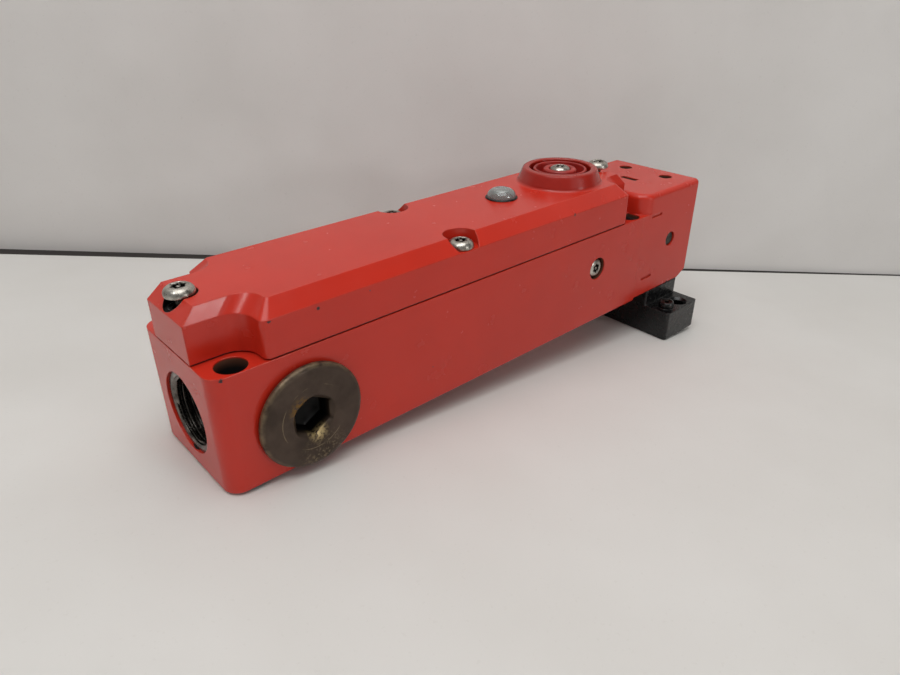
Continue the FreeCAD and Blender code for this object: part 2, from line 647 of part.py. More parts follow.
def make_plug_seals():
    """The flat ring under each conduit plug's flange."""
    x, start = END_X + SIDE_ENTRY_X, HALF_W
    return [tube(PLUG_FLANGE_R - 1.2, PLUG_THREAD_R + 0.1,
                 *on_y(x, SIDE_ENTRY_Z, (side * start, side * (start + PLUG_SEAL_T)))) for side in (1, -1)]


# ---------------------------------------------------------------- indicator and release
def board_posts():
    """Centres of the posts that carry the indicator's board."""
    x = END_X + LED_X - BOARD_SHIFT
    dx, dy = BOARD_L / 2 - BOARD_POST_R - 0.5, BOARD_W / 2 - BOARD_POST_R - 0.5
    return [(x + sx * dx, sy * dy) for sx in (-1, 1) for sy in (-1, 1)]


def make_led_lens():
    """The clear dome of the indicator with its stem."""
    steps = 6
    wall, slope = LED_RIM_H + 0.2, LED_R - LED_TOP_R
    profile = [(0, -LID_ROOF), (LED_R - 0.6, -LID_ROOF), (LED_R - 0.6, 0.0), (LED_R, 0.0), (LED_R, wall)]
    for i in range(1, steps + 1):
        turn = math.radians(90 * i / steps)
        profile.append((LED_TOP_R + slope * math.cos(turn), wall + (LED_RISE - wall) * math.sin(turn)))
    profile.append((0, LED_RISE))
    return turned(profile, Vector(END_X + LED_X, 0, LID_TOP), UP)


def make_led_rim():
    """The dark collar round the indicator's lens."""
    return turned([(LED_R + 0.05, 0), (LED_RIM_R, 0), (LED_RIM_R, LED_RIM_H * 0.6),
                   (LED_RIM_R - 0.3, LED_RIM_H), (LED_R + 0.05, LED_RIM_H)],
                  Vector(END_X + LED_X, 0, LID_TOP), UP)


def make_led_board():
    """The small circuit board below the lid with its light and two parts."""
    top = ROOF_Z - BOARD_DROP
    x = END_X + LED_X - BOARD_SHIFT
    board = block(span(x, BOARD_L), span(0, BOARD_W), (top - BOARD_T, top))
    for px, py in board_posts():
        board = board.cut(rod(BOARD_SCREW_R + 0.2, *on_z(px, py, (top - BOARD_T - 1, top + 1))))
    light = block(span(END_X + LED_X, LIGHT_SIZE[0]), span(0, LIGHT_SIZE[1]),
                  (top - 0.1, top + LIGHT_SIZE[2]))
    coupler = block(span(x - COUPLER_SHIFT, COUPLER_SIZE[0]), span(0, COUPLER_SIZE[1]),
                    (top - 0.1, top + COUPLER_SIZE[2]))
    return joined([board, light, coupler])


def make_board_screws():
    """The four small screws that hold the board to the lid's posts."""
    seat = ROOF_Z - BOARD_DROP - BOARD_T
    tip, (head_r, head_h) = -BOARD_T - BOARD_SCREW_L, BOARD_SCREW_HEAD
    profile = [(0, tip), (BOARD_SCREW_R, tip), (BOARD_SCREW_R, 0), (head_r, 0), (0.84 * head_r, head_h),
               (0, head_h)]
    return [turned(profile, Vector(x, y, seat), UP * -1) for x, y in board_posts()]


def make_release_dial():
    """The red dial inside the ring, with its rim, hub and screw seat."""
    base = LID_TOP - DIAL_SINK + DIAL_GAP
    top = LID_TOP + RING_H - DIAL_SINK - base
    profile = [(M4_R * 0.8, 0), (DIAL_R, 0), (DIAL_R, top), (DIAL_R - DIAL_WALL, top),
               (DIAL_R - DIAL_WALL, top - 2.0), (DIAL_HUB_R, top - 2.0), (DIAL_HUB_R, top),
               (SIDE_HEAD_R + 0.4, top), (SIDE_HEAD_R + 0.4, top - 1.2), (M4_R * 0.8, top - 1.2)]
    return turned(profile, Vector(RELEASE_AT_X, 0, base), UP)


def make_release_screw():
    """The centre screw that holds the dial to its shaft."""
    seat = LID_TOP + RING_H - DIAL_SINK - 1.2
    return screw(Vector(RELEASE_AT_X, 0, seat), UP, 9.0, M4_R * 0.75, SIDE_HEAD_R, 2.0)


def make_release_shaft():
    """The release shaft with its eccentric pin, which reaches down between the two rods."""
    top, foot = LID_TOP - DIAL_SINK + DIAL_GAP, CAM_Z + 9.0
    shaft = rod(RELEASE_SHAFT_R, *on_z(RELEASE_AT_X, 0, (foot, top))).cut(make_release_clip())
    pin = rod(RELEASE_PIN_R, *on_z(RELEASE_AT_X, RELEASE_THROW, (CAM_Z - 4.0, foot + 0.5)))
    bore = rod(M4_R * 0.75 + RUNNING_GAP, *on_z(RELEASE_AT_X, 0, (top - 8.5, top + 1)))
    return shaft.fuse(pin).cut(bore).removeSplitter()


def make_release_clip():
    """The ring in the shaft's groove that keeps it in the lid."""
    top = ROOF_Z - SHAFT_BOSS_DROP - CONTACT_GAP
    return tube(2 * RELEASE_SHAFT_R - 1.0, RELEASE_SHAFT_R - CLIP_GROOVE,
                *on_z(RELEASE_AT_X, 0, (top - CLIP_T, top)))


def make_release_seal():
    """The ring that seals the release shaft in the lid."""
    floor = LID_TOP - DIAL_SINK - SEAL_DEPTH
    return tube(SEAL_R, RELEASE_SHAFT_R + 0.1, *on_z(RELEASE_AT_X, 0, (floor, floor + SEAL_DEPTH - 0.1)))


def make_side_release():
    """The side release spindle: round head, grooved shank and an eccentric tip."""
    seat = Vector(RELEASE_AT_X, -HALF_W + SIDE_HEAD_SUNK + SIDE_HEAD_H, SIDE_RELEASE_Z)
    end = -RELEASE_PLATE_Y + 0.15
    spindle = screw(seat, LEFT * -1, end - seat.y, SIDE_SHANK_R, SIDE_HEAD_R, SIDE_HEAD_H)
    tip = (end - 0.4, -CAM_DISC_Y - ROD_R - CONTACT_GAP)
    offset = SIDE_SHANK_R - SIDE_PIN_R - 0.1
    spindle = spindle.fuse(rod(SIDE_PIN_R, *on_y(RELEASE_AT_X, SIDE_RELEASE_Z - offset, tip)))
    return spindle.removeSplitter().cut(make_side_release_clip())


def make_side_release_clip():
    """The ring in the spindle's groove that keeps it in the body."""
    start = -RELEASE_PLATE_Y - 2 * CLIP_T + 0.1
    return tube(SIDE_SHANK_R + 1.7, SIDE_SHANK_R - CLIP_GROOVE,
                *on_y(RELEASE_AT_X, SIDE_RELEASE_Z, (start, start + CLIP_T)))


# ---------------------------------------------------------------- head
def make_head():
    """The die-cast head with its cam cavity, two key slots and rounded edges."""
    lower = block((HEAD_X, FAR_X), (-HALF_W, HALF_W), (HEAD_BASE, BODY_H))
    upper = block((HEAD_X, FAR_X), (-HALF_W, HALF_W), (BODY_H - 1, HEAD_TOP))
    upper = upper.makeFillet(HEAD_CORNER_R, [e for e in upper.Edges if near(e.Length, HEAD_TOP - BODY_H + 1)
                                             and all(near(v.X, HEAD_X) for v in e.Vertexes)])
    upper = upper.common(block((HEAD_X, FAR_X), (-HALF_W, HALF_W), (BODY_H, HEAD_TOP)))
    head = lower.fuse(upper).removeSplitter()
    head = head.makeFillet(HEAD_EDGE_R + 0.2, [e for e in uprights(head) if near(e.Vertexes[0].X, FAR_X)])
    top = [e for e in head.Edges if all(near(v.Z, HEAD_TOP) for v in e.Vertexes)]
    head = head.makeFillet(HEAD_EDGE_R, top)
    wedge = Part.Face(Part.makePolygon([
        Vector(FAR_X + 1, 0, HEAD_BASE - 1), Vector(FAR_X - HEAD_CHAMFER_X, 0, HEAD_BASE - 1),
        Vector(FAR_X - HEAD_CHAMFER_X, 0, HEAD_BASE), Vector(FAR_X, 0, HEAD_BASE + HEAD_CHAMFER_Z),
        Vector(FAR_X + 1, 0, HEAD_BASE + HEAD_CHAMFER_Z), Vector(FAR_X + 1, 0, HEAD_BASE - 1)]))
    wedge.translate(Vector(0, -HALF_W - 1, 0))
    cuts = [wedge.extrude(Vector(0, BODY_W + 2, 0)),
            head_cavity(), key_slot_below(), key_slot_end(), end_guide_body(0.02),
            rod(CAM_SHAFT_R + RUNNING_GAP, *on_y(CAM_AT.x, CAM_Z, (-HALF_W - 1, HALF_W + 1)))]
    for y, z in head_screw_points():
        cuts.append(rod(M4_R + RUNNING_GAP, *on_x(y, z, (HEAD_X - 1, HEAD_X + HEAD_BOSS_L - 0.8))))
    for y in (-CAM_DISC_Y, CAM_DISC_Y):
        cuts.append(rod(BUSH_R + RUNNING_GAP, *on_x(y, CAM_Z, (HEAD_X - 1, HEAD_X + HEAD_MOUTH + 0.5))))
    sunk = (HEAD_TOP - TOP_HOLE_DEPTH, HEAD_TOP + 1)
    for y in (-TOP_HOLE_Y, TOP_HOLE_Y):
        cuts.append(rod(TOP_HOLE_R, *on_z(FAR_X - TOP_HOLE_INSET, y, sunk)))
    cuts.append(block(span(HEAD_X + TOP_SLOT_X, TOP_SLOT_W), span(-TOP_SLOT_SHIFT, TOP_SLOT_L),
                      (HEAD_TOP - TOP_HOLE_DEPTH + 1, HEAD_TOP + 1)))
    for side in (1, -1):
        face = (side * (HALF_W - 0.5), side * (HALF_W + 1))
        for x, z in ((HEAD_X + 8.6, HEAD_TOP - 8.6), (HEAD_X + 6.8, HEAD_BASE + 6.7)):
            cuts.append(block(span(x, DASH_L), (min(face), max(face)), span(z, DASH_W)))
    for shape in cuts:
        head = head.cut(shape)
    return head


def head_screw_points():
    """Where the head screws stand, as (y, z)."""
    return [(y, z) for y in (-HEAD_SCREW_Y, HEAD_SCREW_Y) for z in HEAD_SCREW_Z]


def head_cavity():
    """The cam's space, open towards the body, less the four screw bosses."""
    floor = HEAD_BASE + HEAD_FLOOR
    space = block((HEAD_X + HEAD_MOUTH, HEAD_SPACE_END), span(0, HEAD_CAVITY_W),
                  (floor, HEAD_TOP - HEAD_ROOF))
    mouth = block((HEAD_X - 1, HEAD_X + HEAD_MOUTH + 1), span(0, HEAD_CAVITY_W), (floor, BODY_H - HEAD_FLOOR))
    space = space.fuse(mouth)
    for y, z in head_screw_points():
        space = space.cut(rod(HEAD_BOSS_R, *on_x(y, z, (HEAD_X - 2, HEAD_X + HEAD_BOSS_L))))
    return space


def key_slot_below():
    """The key's way in through the head's underside."""
    x = (KEY_X[0] - KEY_SLOT_GAP, KEY_X[1] + KEY_SLOT_GAP)
    return block(x, span(0, KEY_W + 3 * KEY_SLOT_GAP), (HEAD_BASE - 1, HEAD_BASE + HEAD_FLOOR + 0.5))


def end_slot_z():
    """Height limits of the unused key slot in the head's end."""
    return span(CAM_Z + KEY_OFFSET, KEY_T + 2 * KEY_SLOT_GAP)


def key_slot_end():
    """The second way in, through the head's end."""
    return block((HEAD_SPACE_END - 0.5, FAR_X + 1), span(0, KEY_W + 3 * KEY_SLOT_GAP), end_slot_z())


def end_guide_body(grow):
    """The pocket or blank of the steel guide plate in the head's end."""
    return block((FAR_X - GUIDE_T - grow, FAR_X + (1 if grow else 0)), span(0, GUIDE_L + 2 * grow),
                 span(CAM_Z + KEY_OFFSET, GUIDE_H + 2 * grow))


def make_end_guide():
    """The steel plate that guides a key into the end slot."""
    return end_guide_body(0).cut(key_slot_end())


def make_head_gasket():
    """The gasket in the body's end groove."""
    return head_gasket_groove()


def make_head_screws():
    """The four screws that hold the head, put in from inside the body."""
    length = HEAD_WALL + HEAD_BOSS_L - 1.5
    return [screw(Vector(CHAMBER_X[1], y, z), ALONG * -1, length, M4_R, CAP_HEAD_R, CAP_HEAD_H)
            for y, z in head_screw_points()]


def make_cam_shaft():
    """The shaft that the cam turns on, seen at both sides of the head."""
    length = HALF_W - 0.5
    profile = [(0, -length), (CAM_SHAFT_R - 0.5, -length), (CAM_SHAFT_R, 0.5 - length),
               (CAM_SHAFT_R, length - 0.5), (CAM_SHAFT_R - 0.5, length), (0, length)]
    return turned(profile, Vector(CAM_AT.x, 0, CAM_Z), LEFT)


def make_cam_washers():
    """The thrust washers at each side of the cam."""
    inner, outer, bore = CAM_WASHER_Y, CAM_WASHER_Y + CAM_WASHER_T, CAM_SHAFT_R + RUNNING_GAP
    return [tube(CAM_WASHER_R, bore, *on_y(CAM_AT.x, CAM_Z, (side * inner, side * outer)))
            for side in (1, -1)]


# ---------------------------------------------------------------- cam, rods and key
def cam_direction(turn):
    """A unit vector in the cam's plane: 0 points at the key, 90 points down."""
    angle = math.radians(turn)
    return Vector(math.cos(angle), 0, -math.sin(angle))


def cam_plate(points, y, width):
    """A flat cam plate cut from (direction, radius) points."""
    outline = [CAM_AT + cam_direction(turn) * radius for turn, radius in points]
    for point in outline:
        point.y = y - width / 2
    return Part.Face(Part.makePolygon(outline + outline[:1])).extrude(Vector(0, width, 0))


def make_cam():
    """The cam wheel: hub with two hooks, rising track and notched lock disc, in one piece."""
    hub = rod(CAM_HUB_R, *on_y(CAM_AT.x, CAM_Z, span(0, CAM_HUB_W)))
    for turn in (0, -90):
        out, across = cam_direction(turn), cam_direction(turn + 90)
        root, tip = CAM_HOOK_T / 2, CAM_HOOK_T / 2 - 0.5
        outline = [CAM_AT + across * root, CAM_AT + out * (CAM_HUB_R + 0.5) + across * root,
                   CAM_AT + out * CAM_HOOK_R + across * tip, CAM_AT + out * CAM_HOOK_R - across * tip,
                   CAM_AT + out * (CAM_HUB_R + 0.5) - across * root, CAM_AT - across * root]
        for point in outline:
            point.y = -CAM_HUB_W / 2
        hook = Part.Face(Part.makePolygon(outline + outline[:1])).extrude(Vector(0, CAM_HUB_W, 0))
        hub = hub.fuse(hook)
    last = CAM_TURN + CAM_TRACK_OVERRUN
    rise = [(180 - t, CAM_TRACK_R + CAM_LIFT * t / CAM_TURN) for t in [last * i / 18 for i in range(19)]]
    rest_of_track = [(180 - last - 12, CAM_HUB_R)]
    rest_of_track += [(turn, CAM_HUB_R) for turn in range(20, -180, -20)]
    track = cam_plate(rise + rest_of_track, -CAM_DISC_Y, CAM_DISC_W)
    disc = [(turn, LOCK_DISC_R) for turn in range(190, 51, -6)]
    disc += [(turn, CAM_HUB_R) for turn in range(40, -161, -20)]
    lock = cam_plate(disc, CAM_DISC_Y, CAM_DISC_W)
    notch = block((CAM_AT.x - LOCK_DISC_R - 1, CAM_AT.x - LOCK_DISC_R + LOCK_NOTCH_DEPTH),
                  span(CAM_DISC_Y, CAM_DISC_W + 2), span(CAM_Z, LOCK_NOTCH_W))
    reach = CAM_DISC_Y + CAM_DISC_W / 2
    core = rod(CAM_SHAFT_R + 2.2, *on_y(CAM_AT.x, CAM_Z, (-reach, reach)))
    cam = hub.fuse(track).fuse(lock.cut(notch)).fuse(core).removeSplitter()
    return cam.cut(rod(CAM_SHAFT_R + RUNNING_GAP, *on_y(CAM_AT.x, CAM_Z, (-reach - 1, reach + 1))))


def make_plunger():
    """The rod that follows the cam track, with a domed tip and a spring collar."""
    start, tip = CONTACT_X[1] - CONTACT_WALL - 1.5, PLUNGER_TIP
    collar = tip - COLLAR_BACK
    dome = [(ROD_R * math.cos(math.radians(a)), tip - start - ROD_R + ROD_R * math.sin(math.radians(a)))
            for a in range(0, 90, 15)]
    profile = [(0, 0), (ROD_R, 0), (ROD_R, collar - start), (COLLAR_R, collar - start),
               (COLLAR_R, collar + COLLAR_T - start), (ROD_R, collar + COLLAR_T - start)]
    return turned(profile + dome + [(0, tip - start)], Vector(start, -CAM_DISC_Y, CAM_Z), ALONG)


def make_lock_bolt():
    """The bolt that enters the lock disc's notch, from the armature to its bevelled tip."""
    start = SOLENOID_X[1] + ARMATURE_OUT
    profile = [(0, 0), (ROD_R, 0), (ROD_R, BOLT_TIP - start - 0.6), (ROD_R - 0.6, BOLT_TIP - start),
               (0, BOLT_TIP - start)]
    return turned(profile, Vector(start, CAM_DISC_Y, CAM_Z), ALONG)


def make_bush(y):
    """A flanged bush that guides a rod through the wall into the head."""
    depth = HEAD_WALL + HEAD_MOUTH
    bore = ROD_R + RUNNING_GAP
    profile = [(bore, -BUSH_FLANGE_T), (BUSH_FLANGE_R, -BUSH_FLANGE_T), (BUSH_FLANGE_R, 0), (BUSH_R, 0),
               (BUSH_R, depth), (bore, depth)]
    return turned(profile, Vector(CHAMBER_X[1], y, CAM_Z), ALONG)


def make_plunger_spring():
    """The spring between the plunger's bush and its collar."""
    x = (HEAD_X + HEAD_MOUTH + SPRING_AIR, PLUNGER_TIP - COLLAR_BACK - SPRING_AIR)
    return coil_spring(ROD_R + 2 * SPRING_WIRE_R, *on_x(-CAM_DISC_Y, CAM_Z, x), 3)


def make_lock_spring():
    """The spring that drives the lock bolt out, round the armature."""
    x = (SOLENOID_X[1] + SPRING_AIR, RELEASE_PLATE_X - RELEASE_PLATE_T - SPRING_AIR)
    return coil_spring(ARMATURE_R + 2 * SPRING_WIRE_R, *on_x(CAM_DISC_Y, CAM_Z, x), 5)


def make_release_plate():
    """The plate on the lock bolt that both release pins push on."""
    x = (RELEASE_PLATE_X - RELEASE_PLATE_T, RELEASE_PLATE_X)
    through = (x[0] - 1, x[1] + 1)
    plate = block(x, (-RELEASE_PLATE_Y, RELEASE_PLATE_Y), span(CAM_Z, RELEASE_PLATE_H))
    plate = plate.cut(rod(ROD_R + RUNNING_GAP, *on_x(CAM_DISC_Y, CAM_Z, through)))
    return plate.cut(rod(ROD_R + 0.7, *on_x(-CAM_DISC_Y, CAM_Z, through)))


def make_key():
    """The steel tongue: a flat strip with a window near its tip and two rivet holes."""
    foot = BASE_TOP - BASE_H + BASE_SEAT_Z + 0.1
    key = block(KEY_X, span(0, KEY_W), (foot, CAM_Z + KEY_TIP_RISE))
    key = key.makeFillet(KEY_CORNER_R, [e for e in key.Edges if near(e.Length, KEY_T)])
    key = key.cut(block((KEY_X[0] - 1, KEY_X[1] + 1), span(0, KEY_WINDOW_W),
                        (CAM_Z - KEY_WINDOW_LOW, CAM_Z + KEY_WINDOW_HIGH)))
    for y, z in rivet_points():
        key = key.cut(rod(RIVET_R + RUNNING_GAP, *on_x(y, z, (KEY_X[0] - 1, KEY_X[1] + 1))))
    return key


def rivet_points():
    """Where the rivets pass through the key and its base."""
    return [(y, BASE_TOP - BASE_H / 2 + 1.0) for y in (-RIVET_Y, RIVET_Y)]


def make_key_base():
    """The moulded base that carries the tongue, with a raised middle and two lugs."""
    bar = block(BASE_X, span(0, BASE_W), (BASE_TOP - BASE_H, BASE_TOP))
    bar = bar.makeFillet(BASE_CORNER_R, [e for e in bar.Edges if near(e.Length, BASE_H)])
    bar = bar.makeFillet(0.6, [e for e in bar.Edges if all(near(v.Z, BASE_TOP - BASE_H) for v in e.Vertexes)])
    step = block(BASE_X, span(0, BODY_W), (BASE_TOP - 1, HEAD_BASE - BASE_HEAD_GAP))
    step = step.makeFillet(0.8, uprights(step))
    base = bar.fuse(step).removeSplitter()
    seat = block((KEY_X[0], BASE_X[1] + 1), span(0, KEY_W + 0.1),
                 (BASE_TOP - BASE_H + BASE_SEAT_Z, HEAD_BASE + 1))
    base = base.cut(seat)
    for y, z in rivet_points():
        base = base.cut(rod(RIVET_R + RUNNING_GAP, *on_x(y, z, (KEY_X[0] - RIVET_L - 0.2, KEY_X[0] + 1))))
    through = (BASE_TOP - BASE_H - 1, BASE_TOP + ADJUST_BOSS_H + 1)
    sink = BASE_SINK_R - HOLE_R
    wide, tall = ADJUST_BOSS_R, ADJUST_BOSS_H
    boss = [(0, -0.5), (wide, -0.5), (wide, tall - 0.8), (wide - 0.25, tall - 0.2), (wide - 0.8, tall),
            (0, tall)]
    for y in (-BASE_HOLE_Y, BASE_HOLE_Y):
        at = Vector(BASE_X[0] + BASE_ADJUST_X, y, BASE_TOP)
        base = base.fuse(turned(boss, at, UP)).cut(rod(HOLE_R, *on_z(BASE_X[0] + BASE_HOLE_X, y, through)))
        cone = [(0, -sink), (HOLE_R, -sink), (BASE_SINK_R, 0), (BASE_SINK_R, 1), (0, 1)]
        base = base.cut(turned(cone, Vector(BASE_X[0] + BASE_HOLE_X, y, BASE_TOP), UP))
        base = base.cut(rod(ADJUSTER_R + RUNNING_GAP, *on_z(at.x, y, through)))
    return base.removeSplitter()


def make_key_rivets():
    """The two rivets that hold the tongue in its base."""
    end = -RIVET_L - KEY_T
    profile = [(0, end), (RIVET_R, end), (RIVET_R, 0), (RIVET_HEAD_R, 0), (0.8 * RIVET_HEAD_R, 0.7), (0, 0.8)]
    return [turned(profile, Vector(KEY_X[1], y, z), ALONG) for y, z in rivet_points()]


def make_adjusters():
    """The grub screws that set the key's tilt."""
    made = []
    for y in (-BASE_HOLE_Y, BASE_HOLE_Y):
        x, top = BASE_X[0] + BASE_ADJUST_X, BASE_TOP + ADJUST_BOSS_H - 0.3
        made.append(rod(ADJUSTER_R, *on_z(x, y, (BASE_TOP - BASE_H + 1.0, top)))
                    .cut(hexagon(ADJUSTER_R, *on_z(x, y, (top - 2.0, top + 1)))))
    return made


# ---------------------------------------------------------------- solenoid
def make_solenoid_frame():
    """The steel frame: two end plates and the strip that joins them."""
    y, z = span(CAM_DISC_Y, 2 * SOLENOID_HALF_W), (FLOOR, CAM_Z + SOLENOID_HALF_W + COIL_INSET)
    rear = block((SOLENOID_X[0], SOLENOID_X[0] + YOKE_PLATE_T), y, z)
    front = block((SOLENOID_X[1] - YOKE_PLATE_T, SOLENOID_X[1]), y, z)
    strip_top = CAM_Z - SOLENOID_HALF_W - CONTACT_GAP
    strip = block(SOLENOID_X, span(CAM_DISC_Y, YOKE_STRIP_W), (strip_top - YOKE_STRIP_T, strip_top))
    frame = joined([rear, front, strip])
    stub = (SOLENOID_X[0] - 1, SOLENOID_X[0] + 4)
    frame = frame.cut(rod(CORE_STUB_R + RUNNING_GAP, *on_x(CAM_DISC_Y, CAM_Z, stub)))
    return frame.cut(rod(ARMATURE_R + 0.3, *on_x(CAM_DISC_Y, CAM_Z, (SOLENOID_X[1] - 4, SOLENOID_X[1] + 1))))


def make_bobbin():
    """The coil's moulded former."""
    length = SOLENOID_LENGTH - 2 * YOKE_PLATE_T
    wall, rim = BOBBIN_BORE_R + BOBBIN_WALL, SOLENOID_HALF_W - 0.1
    profile = [(BOBBIN_BORE_R, 0), (rim, 0), (rim, COIL_FLANGE_T), (wall, COIL_FLANGE_T),
               (wall, length - COIL_FLANGE_T), (rim, length - COIL_FLANGE_T), (rim, length),
               (BOBBIN_BORE_R, length)]
    return turned(profile, Vector(SOLENOID_X[0] + YOKE_PLATE_T, CAM_DISC_Y, CAM_Z), ALONG)


def make_coil():
    """The winding on the former."""
    inset = YOKE_PLATE_T + COIL_FLANGE_T + RUNNING_GAP
    x = (SOLENOID_X[0] + inset, SOLENOID_X[1] - inset)
    return tube(COIL_R, BOBBIN_BORE_R + BOBBIN_WALL + RUNNING_GAP, *on_x(CAM_DISC_Y, CAM_Z, x))


def make_core():
    """The fixed pole piece, riveted into the rear plate."""
    x = SOLENOID_X[0]
    pole = BOBBIN_BORE_R - RUNNING_GAP
    profile = [(0, -CORE_STUB_L), (CORE_STUB_R, -CORE_STUB_L), (CORE_STUB_R, YOKE_PLATE_T),
               (pole, YOKE_PLATE_T), (pole, CORE_L), (0, CORE_L)]
    return turned(profile, Vector(x, CAM_DISC_Y, CAM_Z), ALONG)


def make_armature():
    """The moving pole piece, which pulls the lock bolt back."""
    x = (SOLENOID_X[0] + CORE_L + LOCK_TRAVEL + 0.5, SOLENOID_X[1] + ARMATURE_OUT)
    return rod(ARMATURE_R, *on_x(CAM_DISC_Y, CAM_Z, x))


# ---------------------------------------------------------------- contacts and terminals
def make_contact_block():
    """The moulded contact housing, open on top, with a hole for the plunger."""
    rim = CAM_Z + CONTACT_RISE
    outer = block(CONTACT_X, CONTACT_Y, (FLOOR, rim))
    inner = block((CONTACT_X[0] + CONTACT_WALL, CONTACT_X[1] - CONTACT_WALL),
                  (CONTACT_Y[0] + CONTACT_WALL, CONTACT_Y[1] - CONTACT_WALL),
                  (FLOOR + CONTACT_FLOOR, rim + 1))
    hole = rod(ROD_R + 0.3, *on_x(-CAM_DISC_Y, CAM_Z, (CONTACT_X[1] - 5, CONTACT_X[1] + 1)))
    return outer.cut(inner).cut(hole)


def make_contact_cover():
    """The clear cover over the contacts."""
    rim = CAM_Z + CONTACT_RISE
    return block(CONTACT_X, CONTACT_Y, (rim, rim + CONTACT_COVER_T))


def make_contact_carrier():
    """The bar that the plunger moves, slotted for the contact bridges."""
    x = (CONTACT_X[0] + CONTACT_WALL + CAM_LIFT + 0.5, CONTACT_X[1] - 2 * CONTACT_WALL)
    bar = block(x, span(-CAM_DISC_Y, BRIDGE_L - 2 * CARRIER_INSET), span(CAM_Z, 2 * CARRIER_HALF_H))
    for bridge in BRIDGES:
        bar = bar.cut(bridge_strip(bridge))
    return bar


def bridge_strip(x):
    """The strip of one contact bridge."""
    return block(span(x, BRIDGE_T), span(-CAM_DISC_Y, BRIDGE_L), span(CAM_Z, BRIDGE_H))


def make_bridges():
    """The four moving bridges with a contact button at each end."""
    made = []
    for i, x in enumerate(BRIDGES):
        face = (x, x + (1 if i < 2 else -1) * (BRIDGE_T / 2 + BUTTON_STANDS))
        bridge = bridge_strip(x)
        for side in (1, -1):
            bridge = bridge.fuse(rod(BUTTON_R, *on_x(-CAM_DISC_Y + side * BUTTON_Y, CAM_Z, face)))
        made.append(bridge.removeSplitter())
    return made


def make_fixed_contacts():
    """The eight fixed contact blades, two for each bridge: the first two pairs closed, the others open."""
    made, reach = [], BRIDGE_T / 2 + BUTTON_STANDS + CONTACT_GAP
    for i, x in enumerate(BRIDGES):
        face = x + reach if i < 2 else x - reach - CAM_LIFT - BLADE_T
        for side in (1, -1):
            made.append(block((face, face + BLADE_T), span(-CAM_DISC_Y + side * BUTTON_Y, 2 * BUTTON_R),
                              (FLOOR + CONTACT_FLOOR, CAM_Z + 2)))
    return made


def terminal_points():
    """Centres of the terminal screws."""
    x0, x1 = END_X + TERMINAL_X[0], END_X + TERMINAL_X[1]
    pitch, side = (x1 - x0) / TERMINAL_ROWS, CHAMBER_Y - TERMINAL_WALL_GAP
    return [(x0 + pitch * (i + 0.5), y) for i in range(TERMINAL_ROWS) for y in (-side, side)]


def clamp_block(x, y):
    """The space of one wire clamp, below its screw's well."""
    length, width, height = CLAMP_SIZE
    top = TERMINAL_TOP - TERMINAL_WELL_DEPTH
    return block(span(x, length), span(y, width), (top - height, top))


def make_terminal_block():
    """The moulded terminal block with a screw well and a wire clamp for each way."""
    x = (END_X + TERMINAL_X[0], END_X + TERMINAL_X[1])
    width, depth = TERMINAL_CHANNEL
    body = block(x, span(0, 2 * (CHAMBER_Y - BAY_CLEARANCE)), (FLOOR, TERMINAL_TOP))
    body = body.cut(block((x[0] - 1, x[1] + 1), span(0, width), (TERMINAL_TOP - depth, TERMINAL_TOP + 1)))
    for px, py in terminal_points():
        well = (TERMINAL_TOP - TERMINAL_WELL_DEPTH, TERMINAL_TOP + 1)
        body = body.cut(rod(TERMINAL_WELL_R, *on_z(px, py, well))).cut(clamp_block(px, py))
    return body


def make_terminal_clamps():
    """The brass wire clamps under the terminal screws."""
    return [clamp_block(x, y).cut(rod(TERMINAL_SCREW_R + RUNNING_GAP, *on_z(x, y, (FLOOR, TERMINAL_TOP))))
            for x, y in terminal_points()]


def make_terminal_screws():
    """The slotted terminal screws."""
    head_r, head_h = TERMINAL_SCREW_HEAD
    made, seat = [], TERMINAL_TOP - TERMINAL_WELL_DEPTH
    for x, y in terminal_points():
        body = turned([(0, -TERMINAL_SCREW_L), (TERMINAL_SCREW_R, -TERMINAL_SCREW_L), (TERMINAL_SCREW_R, 0),
                       (head_r, 0), (head_r, head_h), (0, head_h)], Vector(x, y, seat), UP)
        slot = block(span(x, 3 * head_r), span(y, head_h / 2), (seat + head_h / 2, seat + 2 * head_h))
        made.append(body.cut(slot))
    return made


def make_earth_screw():
    """The earth screw on its boss."""
    seat = FLOOR + EARTH_BOSS_H + EARTH_CLAMP[1]
    length = EARTH_BOSS_H + EARTH_CLAMP[1] - 0.5
    return screw(Vector(*EARTH_AT, seat), UP, length, M4_R, CAP_HEAD_R, CAP_HEAD_H)


def make_earth_clamp():
    """The square washer under the earth screw."""
    width, thick = EARTH_CLAMP
    top = FLOOR + EARTH_BOSS_H
    plate = block(span(EARTH_AT[0], width), span(EARTH_AT[1], width), (top, top + thick))
    return plate.cut(rod(M4_R + 0.15, *on_z(*EARTH_AT, (top - 1, top + thick + 1))))


